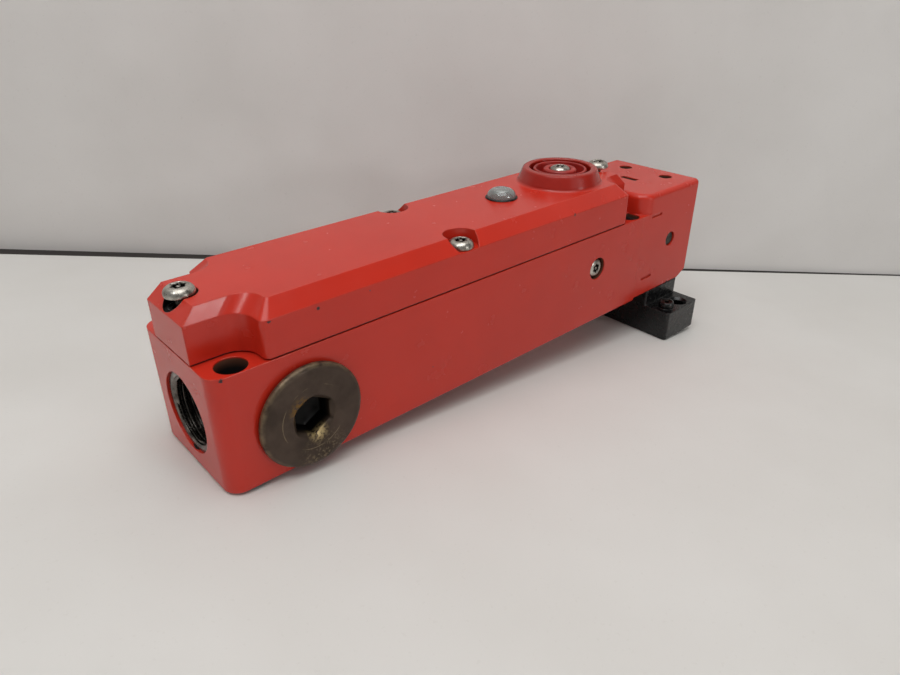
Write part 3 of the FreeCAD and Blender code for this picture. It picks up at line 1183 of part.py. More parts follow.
# ---------------------------------------------------------------- all pieces
def all_pieces():
    """Each node's name and its solid or solids."""
    return {
        "housing": make_housing(), "lid": make_lid(), "lid_gasket": make_lid_gasket(),
        "lid_screws_tight": make_lid_screws(False), "lid_screws_loose": make_lid_screws(True),
        "lid_screw_washers": make_screw_washers(),
        "entry_liner": make_entry_liner(), "conduit_plug_right": make_plug(-1),
        "conduit_plug_left": make_plug(1), "plug_seals": make_plug_seals(),
        "led_lens": make_led_lens(), "led_rim": make_led_rim(), "led_board": make_led_board(),
        "board_screws": make_board_screws(),
        "release_dial": make_release_dial(), "release_screw": make_release_screw(),
        "release_shaft": make_release_shaft(), "release_seal": make_release_seal(),
        "release_clip": make_release_clip(), "side_release_spindle": make_side_release(),
        "side_release_clip": make_side_release_clip(),
        "head": make_head(), "head_gasket": make_head_gasket(), "head_screws": make_head_screws(),
        "head_end_guide": make_end_guide(), "cam_shaft": make_cam_shaft(),
        "cam_washers": make_cam_washers(), "cam_wheel": make_cam(),
        "plunger_rod": make_plunger(), "plunger_bush": make_bush(-CAM_DISC_Y),
        "plunger_spring": make_plunger_spring(),
        "lock_bolt": make_lock_bolt(), "lock_bush": make_bush(CAM_DISC_Y),
        "lock_spring": make_lock_spring(), "release_plate": make_release_plate(),
        "tongue": make_key(), "tongue_base": make_key_base(), "tongue_rivets": make_key_rivets(),
        "tongue_adjusters": make_adjusters(),
        "solenoid_frame": make_solenoid_frame(), "solenoid_bobbin": make_bobbin(),
        "solenoid_coil": make_coil(), "solenoid_core": make_core(), "solenoid_armature": make_armature(),
        "contact_block": make_contact_block(), "contact_cover": make_contact_cover(),
        "contact_carrier": make_contact_carrier(), "contact_bridges": make_bridges(),
        "fixed_contacts": make_fixed_contacts(),
        "terminal_block": make_terminal_block(), "terminal_clamps": make_terminal_clamps(),
        "terminal_screws": make_terminal_screws(),
        "earth_screw": make_earth_screw(), "earth_clamp": make_earth_clamp(),
    }


def main():
    """Write one STEP file for each piece."""
    os.makedirs("parts", exist_ok=True)
    for name, shape in all_pieces().items():
        if isinstance(shape, list):
            shape = Part.makeCompound(shape)
        shape.exportStep("parts/" + name + ".step")
        print(name, len(shape.Solids), round(shape.Volume, 1), shape.isValid())


if __name__ == "__main__":
    main()
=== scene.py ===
"""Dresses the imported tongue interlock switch: finishes for every CAD piece, finer fasteners and plugs, and a bench."""

from __future__ import annotations

import logging
import math
from contextlib import contextmanager
from dataclasses import dataclass, field
from enum import Enum
from typing import Any, Callable, Iterator, Sequence

import bpy
from bpy.types import Material, Node, NodeSocket, NodeTree, Object
from mathutils import Matrix, Vector

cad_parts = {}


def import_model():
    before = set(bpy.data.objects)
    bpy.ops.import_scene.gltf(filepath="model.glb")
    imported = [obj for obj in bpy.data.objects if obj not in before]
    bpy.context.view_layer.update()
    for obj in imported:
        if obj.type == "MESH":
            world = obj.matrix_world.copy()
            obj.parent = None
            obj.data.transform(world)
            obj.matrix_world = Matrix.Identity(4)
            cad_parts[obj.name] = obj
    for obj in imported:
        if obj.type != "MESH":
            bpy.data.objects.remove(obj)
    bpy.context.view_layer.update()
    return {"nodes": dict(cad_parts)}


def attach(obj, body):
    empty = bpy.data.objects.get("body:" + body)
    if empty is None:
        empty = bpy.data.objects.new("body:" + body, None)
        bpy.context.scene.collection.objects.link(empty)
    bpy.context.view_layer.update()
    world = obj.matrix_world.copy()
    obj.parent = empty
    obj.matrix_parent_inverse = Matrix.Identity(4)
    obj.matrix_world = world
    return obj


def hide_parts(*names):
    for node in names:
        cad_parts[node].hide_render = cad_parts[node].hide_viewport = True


log = logging.getLogger("switch")
MM = 0.001
WELD = 1e-6                 # points closer than this, in metres, are one
EDGE_STARTS, EDGE_FULL = 0.995, 0.86    # how far the rounded and flat normals agree where an edge starts and is full
HOLE_SLACK = 0.05           # how far past a hole's wall still counts as inside it, mm
Outline = Sequence[tuple[float, float]]


class Body(Enum):
    """The bodies that pieces ride on."""

    SWITCH = "switch"
    RELEASE = "release"
    SIDE_RELEASE = "side_release"


class Facing(Enum):
    """Where a turned piece's own height points once it is in place."""

    UP = (0.0, 0.0, 1.0)
    RIGHT = (0.0, -1.0, 0.0)
    LEFT = (0.0, 1.0, 0.0)
    NEAR_END = (-1.0, 0.0, 0.0)


# ---------------------------------------------------------------- material nodes


def linear(code: str) -> tuple[float, float, float, float]:
    """Turns an sRGB hex value to linear light.

    Args:
        code: The colour, such as "#C42C1E".

    Returns:
        Linear red, green and blue, and full alpha.
    """
    parts = [int(code[i:i + 2], 16) / 255 for i in (1, 3, 5)]
    light = [p / 12.92 if p <= 0.04045 else ((p + 0.055) / 1.055) ** 2.4 for p in parts]
    return (light[0], light[1], light[2], 1.0)


def add(tree: NodeTree, kind: str, settings: dict[Any, Any] | None = None,
        links: dict[Any, NodeSocket] | None = None) -> Node:
    """Adds a node with its settings and links.

    Args:
        tree: The material's node tree.
        kind: The node's type, without ShaderNode.
        settings: Values by property name, or by input name or number.
        links: What feeds each input, by input name or number.

    Returns:
        The new node.
    """
    made = tree.nodes.new(f"ShaderNode{kind}")
    for key, value in (settings or {}).items():
        if isinstance(key, int) or key in made.inputs:
            made.inputs[key].default_value = value
        else:
            setattr(made, key, value)
    for key, source in (links or {}).items():
        tree.links.new(source, made.inputs[key])
    return made


def start(name: str) -> tuple[Material, NodeTree, NodeSocket]:
    """Starts a material.

    Args:
        name: The material's name.

    Returns:
        The material, its emptied tree and the object coordinates.
    """
    material = bpy.data.materials.new(name)
    material.use_nodes = True
    tree = material.node_tree
    tree.nodes.clear()
    return material, tree, add(tree, "TexCoord").outputs["Object"]


def surface(tree: NodeTree, settings: dict[Any, Any], links: dict[Any, NodeSocket], height: NodeSocket,
            relief: tuple[float, float], normal: NodeSocket | None = None) -> None:
    """Closes a material with a bumped surface.

    Args:
        tree: The material's node tree.
        settings: The shader's even values.
        links: What feeds its other inputs.
        height: The bump's height.
        relief: The bump's strength, and its depth in mm.
        normal: The normal under the bump, if it isn't the plain one.
    """
    under = {} if normal is None else {"Normal": normal}
    bump = add(tree, "Bump", {"Strength": relief[0], "Distance": relief[1] * MM}, {"Height": height, **under})
    shader = add(tree, "BsdfPrincipled", settings, {**links, "Normal": bump.outputs[0]})
    add(tree, "OutputMaterial", None, {"Surface": shader.outputs[0]})


def mottle(tree: NodeTree, where: NodeSocket, size: float, low: float = 0.4, high: float = 0.6,
           detail: float = 3.0, to: tuple[float, float] = (0.0, 1.0)) -> NodeSocket:
    """Makes soft patches of a real size.

    Args:
        tree: The material's node tree.
        where: The coordinates.
        size: The patches' size in mm.
        low: The noise that counts as none.
        high: The noise that counts as full.
        detail: How much finer noise is in it.
        to: The values at none and at full.

    Returns:
        The patches' value.
    """
    noise = add(tree, "TexNoise", {"Scale": 1 / (size * MM), "Detail": detail}, {"Vector": where})
    span = add(tree, "MapRange", {"From Min": low, "From Max": high, "To Min": to[0], "To Max": to[1]},
               {"Value": noise.outputs[0]})
    return span.outputs[0]


def mix(tree: NodeTree, amount: NodeSocket, first: Any, second: Any) -> NodeSocket:
    """Mixes two colours, each a hex value or a socket.

    Args:
        tree: The material's node tree.
        amount: The share of the second colour.
        first: The colour at none.
        second: The colour at full.

    Returns:
        The mixed colour.
    """
    settings: dict[Any, Any] = {"data_type": "RGBA"}
    links: dict[Any, NodeSocket] = {0: amount}
    for slot, colour in ((6, first), (7, second)):
        if isinstance(colour, str):
            settings[slot] = linear(colour)
        else:
            links[slot] = colour
    return add(tree, "Mix", settings, links).outputs[2]


def reckon(tree: NodeTree, operation: str, first: Any, second: Any = 0.0) -> NodeSocket:
    """Works out one value from two, each a number or a socket.

    Args:
        tree: The material's node tree.
        operation: The operation's name.
        first: The first value.
        second: The second value.

    Returns:
        The result.
    """
    settings: dict[Any, Any] = {"operation": operation}
    links: dict[Any, NodeSocket] = {}
    for slot, value in enumerate((first, second)):
        if isinstance(value, NodeSocket):
            links[slot] = value
        else:
            settings[slot] = value
    return add(tree, "Math", settings, links).outputs[0]


def near_point(tree: NodeTree, where: NodeSocket, point: Sequence[float], reach: float,
               soft: float = 0.15) -> NodeSocket:
    """Marks what lies near a point.

    Args:
        tree: The material's node tree.
        where: The coordinates.
        point: The point in mm.
        reach: The mark's radius in mm.
        soft: The width of its edge, as a share of the radius.

    Returns:
        One inside the mark and none outside.
    """
    gap = add(tree, "VectorMath", {"operation": "DISTANCE", 1: tuple(p * MM for p in point)}, {0: where})
    edge = add(tree, "MapRange", {"From Min": reach * MM, "From Max": reach * MM * (1 - soft)},
               {"Value": gap.outputs["Value"]})
    return edge.outputs[0]


def hole_depth(tree: NodeTree, where: NodeSocket, mouth: Sequence[float], inward: Sequence[float],
               half: tuple[float, float]) -> NodeSocket:
    """Measures how deep a point lies in a hole or slot.

    Args:
        tree: The material's node tree.
        where: The coordinates.
        mouth: The middle of the hole's mouth in mm.
        inward: The way in, along one axis.
        half: Half the hole's size along the other two axes in mm; the same twice makes it round.

    Returns:
        The depth in mm, and nothing outside the hole.
    """
    gap = add(tree, "VectorMath", {"operation": "SUBTRACT", 1: tuple(p * MM for p in mouth)}, {0: where})
    drop = add(tree, "VectorMath", {"operation": "DOT_PRODUCT", 1: tuple(p / MM for p in inward)},
               {0: gap.outputs[0]}).outputs["Value"]
    sizes = iter(half)
    share = tuple(0.0 if way else 1 / ((next(sizes) + HOLE_SLACK) * MM) for way in inward)
    scaled = add(tree, "VectorMath", {"operation": "MULTIPLY", 1: share}, {0: gap.outputs[0]}).outputs[0]
    if half[0] == half[1]:
        out = add(tree, "VectorMath", {"operation": "LENGTH"}, {0: scaled}).outputs["Value"]
    else:
        size = add(tree, "VectorMath", {"operation": "ABSOLUTE"}, {0: scaled})
        axes = add(tree, "SeparateXYZ", None, {0: size.outputs[0]})
        out = reckon(tree, "MAXIMUM", axes.outputs[0], axes.outputs[1])
    return reckon(tree, "MULTIPLY", reckon(tree, "LESS_THAN", out, 1.0), drop)


def deepest(tree: NodeTree, where: NodeSocket, holes: Sequence[Any]) -> NodeSocket:
    """Measures how deep a point lies in any of a piece's holes, which are mirrored across its length.

    Args:
        tree: The material's node tree.
        where: The coordinates.
        holes: Each hole's mouth, way in and half sizes.

    Returns:
        The depth in mm, and nothing outside the holes.
    """
    split = add(tree, "SeparateXYZ", None, {0: where})
    across = reckon(tree, "ABSOLUTE", split.outputs[1])
    folded = add(tree, "CombineXYZ", None, {0: split.outputs[0], 1: across, 2: split.outputs[2]}).outputs[0]
    depth: Any = 0.0
    for mouth, inward, half in holes:
        depth = reckon(tree, "MAXIMUM", hole_depth(tree, folded if mouth[1] > 0 else where, mouth, inward, half), depth)
    return depth


def edges(tree: NodeTree, radius: float) -> tuple[NodeSocket, NodeSocket]:
    """Finds a piece's edges and rounds them for the light.

    Args:
        tree: The material's node tree.
        radius: The rounding in mm.

    Returns:
        The edges' mask and the rounded normal.
    """
    rounded = add(tree, "Bevel", {"Radius": radius * MM, "samples": 6}).outputs[0]
    flat = add(tree, "NewGeometry").outputs["Normal"]
    same = add(tree, "VectorMath", {"operation": "DOT_PRODUCT"}, {0: rounded, 1: flat})
    mask = add(tree, "MapRange", {"From Min": EDGE_STARTS, "From Max": EDGE_FULL}, {"Value": same.outputs["Value"]})
    return mask.outputs[0], rounded


DOWN, INWARD = (0.0, 0.0, -1.0), (0.0, 1.0, 0.0)


@dataclass(frozen=True)
class StovedPaint:
    """Red stoving paint on die-cast zinc: even, glossy and slightly peeled, so that it mirrors the bench as a haze.

    Its sharp edges are rubbed to a lighter orange that also paints their highlight, knocks have chipped it to the dark
    metal, and holes that were drilled or masked after painting are bare inside, with painted shade darkening them
    deeper in. Painted shade also darkens the ring round the release dial.
    """

    name: str = "stoved_red_paint_on_zinc"
    red: str = "#C42E1E"
    deep: str = "#BA2B1C"
    # the lighter orange of rubbed edges, which also paints their highlight
    rubbed: str = "#DB5A3C"
    bare: str = "#3A2A2A"
    rust: str = "#5A3524"
    # the near black of the painted shade deep in holes
    dark: str = "#0B0808"
    patch: float = 30.0
    peel: float = 0.9           # orange peel, drawn as coarse as it shows
    rounding: float = 0.4
    # the deeper red of the painted shade on the ring round the release dial
    ring_shade_colour: str = "#8C1A10"
    ring: tuple[float, float, float] = (56.1, 0.0, 50.6)        # the ring round the release dial, darkened by painted shade
    holes: tuple[Any, ...] = (
        ((-78.0, 15.5, 34.0), DOWN, (4.05, 4.05)), ((78.0, 15.5, 34.0), DOWN, (4.05, 4.05)),
        ((-80.9, 0.0, 48.3), DOWN, (4.3, 4.3)), ((77.6, 0.0, 48.3), DOWN, (4.3, 4.3)),
        ((109.6, 9.3, 41.3), DOWN, (2.5, 2.5)), ((97.3, -1.2, 41.3), DOWN, (1.3, 3.6)),
        ((56.1, -20.0, 21.1), INWARD, (4.0, 4.0)))
    chips: tuple[tuple[float, float, float, float], ...] = (
        (-69.0, -20.0, 44.0, 0.4), (-56.0, -19.8, 43.1, 0.55), (-40.6, -19.8, 43.2, 0.3), (40.9, -19.8, 44.2, 0.5),
        (-82.6, -19.7, 33.6, 0.5), (68.0, -19.8, 45.6, 0.4), (117.8, -19.6, 40.6, 1.6), (118.0, -19.9, 35.5, 0.8),
        (118.0, -19.8, 28.0, 0.7), (-85.0, 2.0, 33.6, 0.5), (-30.0, -20.0, 34.2, 0.3), (12.0, -20.0, 34.3, 0.25),
        (-67.4, -17.6, 48.4, 0.4), (104.0, -20.0, 1.6, 0.6), (-20.0, -20.0, 12.0, 0.2), (52.0, 20.0, 33.8, 0.6),
        (-74.0, 20.0, 34.0, 0.7), (118.0, 14.0, 41.0, 0.9), (-85.4, 16.0, 20.0, 0.4), (20.0, 20.0, 48.0, 0.4))

    def build(self) -> Material:
        """Builds the material."""
        material, tree, where = start(self.name)
        cloud = mottle(tree, where, self.patch, 0.3, 0.7)
        mask, rounded = edges(tree, self.rounding)
        rub = reckon(tree, "MULTIPLY", mask, mottle(tree, where, 1.6, 0.42, 0.6, 5.0))
        body = mix(tree, cloud, self.red, self.deep)
        # edges turn lighter orange: partly wear, partly a painted highlight
        body = mix(tree, reckon(tree, "MULTIPLY", rub, 0.45), body, self.rubbed)
        # painted shade: the ring round the release dial and the lid next to it turn a deeper red
        ring_shade_mask = reckon(tree, "MULTIPLY", near_point(tree, where, self.ring, 15.4, 0.08), 0.75)
        body = mix(tree, ring_shade_mask, body, self.ring_shade_colour)
        depth = deepest(tree, where, self.holes)
        inside = add(tree, "MapRange", {"From Min": 0.25, "From Max": 0.5}, {"Value": depth}).outputs[0]
        # painted shade: past the bare rusty mouth, each hole darkens to near black deeper in
        hole_shade = add(tree, "MapRange", {"From Min": 0.8, "From Max": 3.0}, {"Value": depth}).outputs[0]
        body = mix(tree, inside, body, mix(tree, hole_shade, self.rust, self.dark))
        ragged = add(tree, "TexNoise", {"Scale": 1 / (0.6 * MM), "Detail": 2.0}, {"Vector": where})
        shift = add(tree, "VectorMath", {"operation": "MULTIPLY_ADD", 1: (MM,) * 3, 2: (-0.5 * MM,) * 3},
                    {0: ragged.outputs["Color"]})
        torn = add(tree, "VectorMath", {"operation": "ADD"}, {0: where, 1: shift.outputs[0]}).outputs[0]
        chipped = None
        for x, y, z, reach in self.chips:
            spot = near_point(tree, torn, (x, y, z), reach)
            chipped = spot if chipped is None else reckon(tree, "MAXIMUM", chipped, spot)
        body = mix(tree, chipped, body, self.bare)
        gloss = mottle(tree, where, 6.0, 0.3, 0.7, 4.0, (0.2, 0.28))
        matt = reckon(tree, "MULTIPLY", reckon(tree, "MAXIMUM", chipped, inside), 0.4)
        relief = add(tree, "TexNoise", {"Scale": 1 / (self.peel * MM), "Detail": 1.0}, {"Vector": where})
        height = reckon(tree, "SUBTRACT", relief.outputs[0], reckon(tree, "MULTIPLY", chipped, 3.0))
        surface(tree, {"IOR": 1.45}, {"Base Color": body, "Roughness": reckon(tree, "ADD", gloss, matt)}, height,
                (0.5, 0.008), rounded)
        return material


@dataclass(frozen=True)
class Metal:
    """A bare or plated metal, with marks of a real size, darker patches, softened edges lightened by a painted
    highlight, and painted shade in any drive recesses.
    """

    name: str
    bright: str
    dull: str
    roughness: tuple[float, float]
    grain: tuple[float, float, float] = (0.4, 0.4, 0.4)     # mm, the marks' size along each axis
    depth: float = 0.004
    patch: float = 3.0
    rounding: float = 0.12
    recesses: tuple[Any, ...] = ()                          # drive sockets, darkened by painted shade

    def build(self) -> Material:
        """Builds the material."""
        material, tree, where = start(self.name)
        scale = tuple(1 / (g * MM) for g in self.grain)
        drawn = add(tree, "Mapping", {"Scale": scale}, {"Vector": where}).outputs[0]
        marks = add(tree, "TexNoise", {"Scale": 1.0, "Detail": 3.0}, {"Vector": drawn}).outputs[0]
        stain = mottle(tree, where, self.patch, 0.38, 0.68, 4.0)
        colour = mix(tree, stain, self.bright, self.dull)
        mask, rounded = edges(tree, self.rounding)
        # painted highlight: every edge is lightened halfway towards the bright colour
        colour = mix(tree, reckon(tree, "MULTIPLY", mask, 0.5), colour, self.bright)
        low, high = self.roughness
        rough = add(tree, "MapRange", {"From Min": 0.35, "From Max": 0.65, "To Min": low, "To Max": high},
                    {"Value": marks}).outputs[0]
        if self.recesses:
            depth = deepest(tree, where, self.recesses)
            # painted shade: each drive recess darkens towards near black and turns rougher
            drive_shade = add(tree, "MapRange", {"From Min": 0.15, "From Max": 0.5}, {"Value": depth}).outputs[0]
            drive_shade = reckon(tree, "MULTIPLY", drive_shade, reckon(tree, "LESS_THAN", depth, 1.75))
            colour = mix(tree, drive_shade, colour, "#1E1B19")
            rough = reckon(tree, "ADD", rough, reckon(tree, "MULTIPLY", drive_shade, 0.3))
        surface(tree, {"Metallic": 1.0}, {"Base Color": colour, "Roughness": rough}, marks, (0.6, self.depth), rounded)
        return material


@dataclass(frozen=True)
class Moulding:
    """A moulded plastic or rubber, with an even spark-eroded texture, faint flow patches and rubbed edges."""

    name: str
    colour: str
    flow: str
    rubbed: str
    roughness: tuple[float, float]
    texture: float = 0.35
    depth: float = 0.01
    patch: float = 7.0
    rounding: float = 0.25

    def build(self) -> Material:
        """Builds the material."""
        material, tree, where = start(self.name)
        colour = mix(tree, mottle(tree, where, self.patch), self.colour, self.flow)
        mask, rounded = edges(tree, self.rounding)
        scuffed = reckon(tree, "MULTIPLY", mask, mottle(tree, where, 1.2, 0.4, 0.6, 4.0))
        colour = mix(tree, reckon(tree, "MULTIPLY", scuffed, 0.6), colour, self.rubbed)
        rough = mottle(tree, where, 2.5, 0.3, 0.7, 3.0, self.roughness)
        spark = add(tree, "TexNoise", {"Scale": 1 / (self.texture * MM), "Detail": 2.0}, {"Vector": where})
        surface(tree, {"IOR": 1.46}, {"Base Color": colour, "Roughness": rough}, spark.outputs[0],
                (0.6, self.depth), rounded)
        return material


@dataclass(frozen=True)
class BlackenedPlug:
    """Oxide-blackened zinc, turned on its face: dark grey-brown with fine rings.

    The rim is worn tan, the socket's lower lip is pale gold, partly rubbed and partly a painted highlight where it
    faces the light, old grease has caked brown at its upper left, and a washer has once left a faint ring. Painted
    shade turns the socket black deeper inside.
    """

    name: str = "blackened_turned_zinc"
    centre: tuple[float, float] = (-61.6, 15.2)
    face: float = 22.6
    dark: str = "#35291F"
    light: str = "#4B3D33"
    worn: str = "#8B7A5E"
    worn_and_lit_gold: str = "#B09A6C"
    caked: str = "#7A5A26"
    # the near black of the painted shade deep in the socket
    black: str = "#080706"
    rim: float = 14.2
    scratch: float = 9.2
    ring: float = 0.28          # turning marks, drawn twice as wide as they are

    def build(self) -> Material:
        """Builds the material."""
        material, tree, where = start(self.name)
        centred = add(tree, "Mapping", {"Location": (-self.centre[0] * MM, 0.0, -self.centre[1] * MM)},
                      {"Vector": where}).outputs[0]
        flat = add(tree, "VectorMath", {"operation": "MULTIPLY", 1: (1.0, 0.0, 1.0)}, {0: centred}).outputs[0]
        out = add(tree, "VectorMath", {"operation": "LENGTH"}, {0: flat}).outputs["Value"]
        rings = add(tree, "TexNoise",
                    {"noise_dimensions": "1D", "Scale": 1 / (self.ring * MM), "Detail": 2.0}, {"W": out}).outputs[0]
        colour = mix(tree, mottle(tree, where, 5.0, 0.35, 0.65, 5.0), self.dark, self.light)
        colour = mix(tree, reckon(tree, "MULTIPLY", rings, 0.35), colour, self.light)
        mask, rounded = edges(tree, 0.4)
        rim = add(tree, "MapRange", {"From Min": (self.rim - 0.5) * MM, "From Max": (self.rim + 0.4) * MM},
                  {"Value": out}).outputs[0]
        rub = reckon(tree, "MAXIMUM", reckon(tree, "MULTIPLY", rim, 0.6), mask)
        x, z, y = *self.centre, -self.face
        specks = near_point(tree, where, (x + 2.0, y, z - 13.0), 9.0, 0.8)
        specks = reckon(tree, "MULTIPLY", specks, mottle(tree, where, 0.7, 0.5, 0.72, 5.0, (0.0, 0.8)))
        rub = reckon(tree, "MULTIPLY", rub, mottle(tree, where, 2.2, 0.36, 0.62, 5.0))
        colour = mix(tree, reckon(tree, "MAXIMUM", rub, specks), colour, self.worn)
        line = add(tree, "Math", {"operation": "COMPARE", 1: self.scratch * MM, 2: 0.12 * MM}, {0: out})
        line = reckon(tree, "MULTIPLY", line.outputs[0], mottle(tree, where, 4.0, 0.45, 0.6, 2.0, (0.0, 0.6)))
        colour = mix(tree, line, colour, self.worn)
        # pale gold on the socket's lower lip: partly wear, partly a painted highlight on the wall that faces the light
        worn_and_lit_lip = near_point(tree, where, (x + 0.6, y + 1.6, z - 5.2), 3.6, 0.6)
        worn_and_lit_lip = reckon(tree, "MULTIPLY", worn_and_lit_lip, mottle(tree, where, 0.8, 0.38, 0.54, 4.0))
        colour = mix(tree, worn_and_lit_lip, colour, self.worn_and_lit_gold)
        grease = near_point(tree, where, (x - 3.2, y + 1.5, z + 3.6), 4.4, 0.5)
        grease = reckon(tree, "MULTIPLY", grease, mottle(tree, where, 0.9, 0.42, 0.54, 5.0))
        # painted shade: the socket darkens to near black deeper inside
        deep = deepest(tree, where, (((x, self.face, z), (0.0, -1.0, 0.0), (6.2, 6.2)),))
        deep = add(tree, "MapRange", {"From Min": 1.0, "From Max": 3.2}, {"Value": deep}).outputs[0]
        colour = mix(tree, deep, colour, self.black)
        colour = mix(tree, grease, colour, self.caked)
        rough = reckon(tree, "ADD", mottle(tree, where, 2.0, 0.3, 0.7, 4.0, (0.36, 0.52)),
                       reckon(tree, "MULTIPLY", grease, 0.3))
        height = reckon(tree, "ADD", rings, reckon(tree, "MULTIPLY", grease, 5.0))
        surface(tree, {"Metallic": 0.55}, {"Base Color": colour, "Roughness": rough}, height, (0.7, 0.02), rounded)
        return material


@dataclass(frozen=True)
class ClearMoulding:
    """Clear polycarbonate: colourless, with a soft moulded surface that blurs what lies behind."""

    name: str
    tint: str
    cloud: str
    haze: float
    roughness: float

    def build(self) -> Material:
        """Builds the material."""
        material, tree, where = start(self.name)
        colour = mix(tree, mottle(tree, where, 2.5), self.tint, self.cloud)
        ripple = add(tree, "TexNoise", {"Scale": 1 / (0.8 * MM), "Detail": 1.0}, {"Vector": where})
        surface(tree, {"IOR": 1.585, "Transmission Weight": 1.0 - self.haze, "Roughness": self.roughness},
                {"Base Color": colour}, ripple.outputs[0], (0.3, 0.01))
        return material


@dataclass(frozen=True)
class Winding:
    """Enamelled copper wire wound in layers: fine bright turns round the coil, drawn twice as wide as the wire."""

    name: str = "enamelled_copper_winding"
    copper: str = "#B5633A"
    shadow: str = "#5E2C18"
    turn: float = 0.5

    def build(self) -> Material:
        """Builds the material."""
        material, tree, where = start(self.name)
        wave = add(tree, "TexWave",
                   {"bands_direction": "X", "Scale": math.pi / 10 / (self.turn * MM), "Distortion": 0.3},
                   {"Vector": where}).outputs["Fac"]
        colour = mix(tree, wave, self.shadow, self.copper)
        rough = mottle(tree, where, 1.5, 0.3, 0.7, 3.0, (0.22, 0.36))
        surface(tree, {"Metallic": 0.9}, {"Base Color": colour, "Roughness": rough}, wave, (1.0, 0.12))
        return material


@dataclass(frozen=True)
class Laminate:
    """Glass-epoxy circuit board under green resist: glossy, with tinned tracks showing as lighter lines."""

    name: str = "glass_epoxy_board"
    resist: str = "#0F4A2A"
    track: str = "#2C7A48"

    def build(self) -> Material:
        """Builds the material."""
        material, tree, where = start(self.name)
        tracks = add(tree, "TexBrick",
                     {"Scale": 1 / (2.4 * MM), "Mortar Size": 0.07, "Brick Width": 1.6, "Row Height": 0.5,
                      "Color1": (0, 0, 0, 1), "Color2": (0, 0, 0, 1), "Mortar": (1, 1, 1, 1)}, {"Vector": where})
        colour = mix(tree, tracks.outputs["Color"], self.resist, self.track)
        rough = mottle(tree, where, 3.0, 0.3, 0.7, 3.0, (0.2, 0.32))
        surface(tree, {"IOR": 1.55}, {"Base Color": colour, "Roughness": rough}, tracks.outputs["Color"], (0.5, 0.03))
        return material


# ---------------------------------------------------------------- modelling by hand


def deselect_all() -> None:
    """Goes back to object mode with nothing selected."""
    if bpy.context.object and bpy.context.object.mode != "OBJECT":
        bpy.ops.object.mode_set(mode="OBJECT")
    bpy.ops.object.select_all(action="DESELECT")


def pick(obj: Object) -> None:
    """Selects one piece alone and makes it active."""
    deselect_all()
    obj.select_set(True)
    bpy.context.view_layer.objects.active = obj


@contextmanager
def editing(obj: Object, vertices: Sequence[int] | None = None) -> Iterator[None]:
    """Opens a piece for editing, and closes it after the block.

    Args:
        obj: The piece.
        vertices: The vertices to select, or None for all of them.
    """
    pick(obj)
    bpy.ops.object.mode_set(mode="EDIT")
    bpy.ops.mesh.select_mode(type="VERT")
    bpy.ops.mesh.select_all(action="DESELECT" if vertices is not None else "SELECT")
    if vertices is not None:
        bpy.ops.object.mode_set(mode="OBJECT")
        for index in vertices:
            obj.data.vertices[index].select = True
        bpy.ops.object.mode_set(mode="EDIT")
    yield
    bpy.ops.object.mode_set(mode="OBJECT")


def weld(obj: Object) -> None:
    """Merges a piece's doubled points and turns its faces outwards."""
    with editing(obj):
        bpy.ops.mesh.remove_doubles(threshold=WELD)
        bpy.ops.mesh.normals_make_consistent(inside=False)


def outline_of(name: str, profile: Outline) -> Object:
    """Draws a profile, point after point, in the plane of a piece's radius and height.

    Args:
        name: The piece's name.
        profile: (radius, height) points in mm.

    Returns:
        The open line.
    """
    deselect_all()
    bpy.ops.mesh.primitive_plane_add(size=MM)
    obj = bpy.context.object
    obj.name = obj.data.name = name
    bpy.ops.object.mode_set(mode="EDIT")
    bpy.ops.mesh.select_all(action="SELECT")
    bpy.ops.mesh.merge(type="CENTER")
    bpy.ops.transform.translate(value=(profile[0][0] * MM, 0, profile[0][1] * MM))
    for (r0, h0), (r1, h1) in zip(profile, profile[1:]):
        step = ((r1 - r0) * MM, 0, (h1 - h0) * MM)
        bpy.ops.mesh.extrude_vertices_move(TRANSFORM_OT_translate={"value": step})
    bpy.ops.object.mode_set(mode="OBJECT")
    return obj


def apply(obj: Object, kind: str, **settings: Any) -> None:
    """Adds a modifier with its settings and applies it."""
    pick(obj)
    made = obj.modifiers.new(kind.lower(), kind)
    for key, value in settings.items():
        setattr(made, key, value)
    bpy.ops.object.modifier_apply(modifier=made.name)


def turned(name: str, profile: Outline, steps: int = 72) -> Object:
    """Turns a profile round a piece's own height.

    Args:
        name: The piece's name.
        profile: (radius, height) points in mm, from axis to axis or back to the first point.
        steps: How many steps make the turn.

    Returns:
        The turned piece.
    """
    obj = outline_of(name, profile)
    apply(obj, "SCREW", steps=steps, render_steps=steps, use_merge_vertices=True, merge_threshold=WELD)
    weld(obj)
    return obj


def threaded(name: str, crest: float, root: float, pitch: float, length: float, steps: int = 48) -> Object:
    """Winds a thread's flank up a helix and trims both ends flat.

    Args:
        name: The piece's name.
        crest: The radius at the profile's two ends in mm.
        root: The radius at its middle in mm.
        pitch: The thread's pitch in mm.
        length: The threaded length in mm, upwards from nothing.
        steps: Steps in each turn.

    Returns:
        The threaded surface, open at both ends.
    """
    flat = pitch / 8
    profile = [(crest, 0.0), (crest, flat), (root, pitch / 2 - flat / 2), (root, pitch / 2 + flat / 2),
               (crest, pitch - flat), (crest, pitch)]
    obj = outline_of(name, profile)
    turns = int(length / pitch) + 3
    apply(obj, "SCREW", steps=steps, render_steps=steps, screw_offset=pitch * MM, iterations=turns)
    with editing(obj):
        bpy.ops.transform.translate(value=(0, 0, -1.5 * pitch * MM))
        bpy.ops.mesh.remove_doubles(threshold=WELD)
        bpy.ops.mesh.bisect(plane_co=(0, 0, 0), plane_no=(0, 0, 1), clear_inner=True)
        bpy.ops.mesh.select_all(action="SELECT")
        bpy.ops.mesh.bisect(plane_co=(0, 0, length * MM), plane_no=(0, 0, 1), clear_outer=True)
    return obj


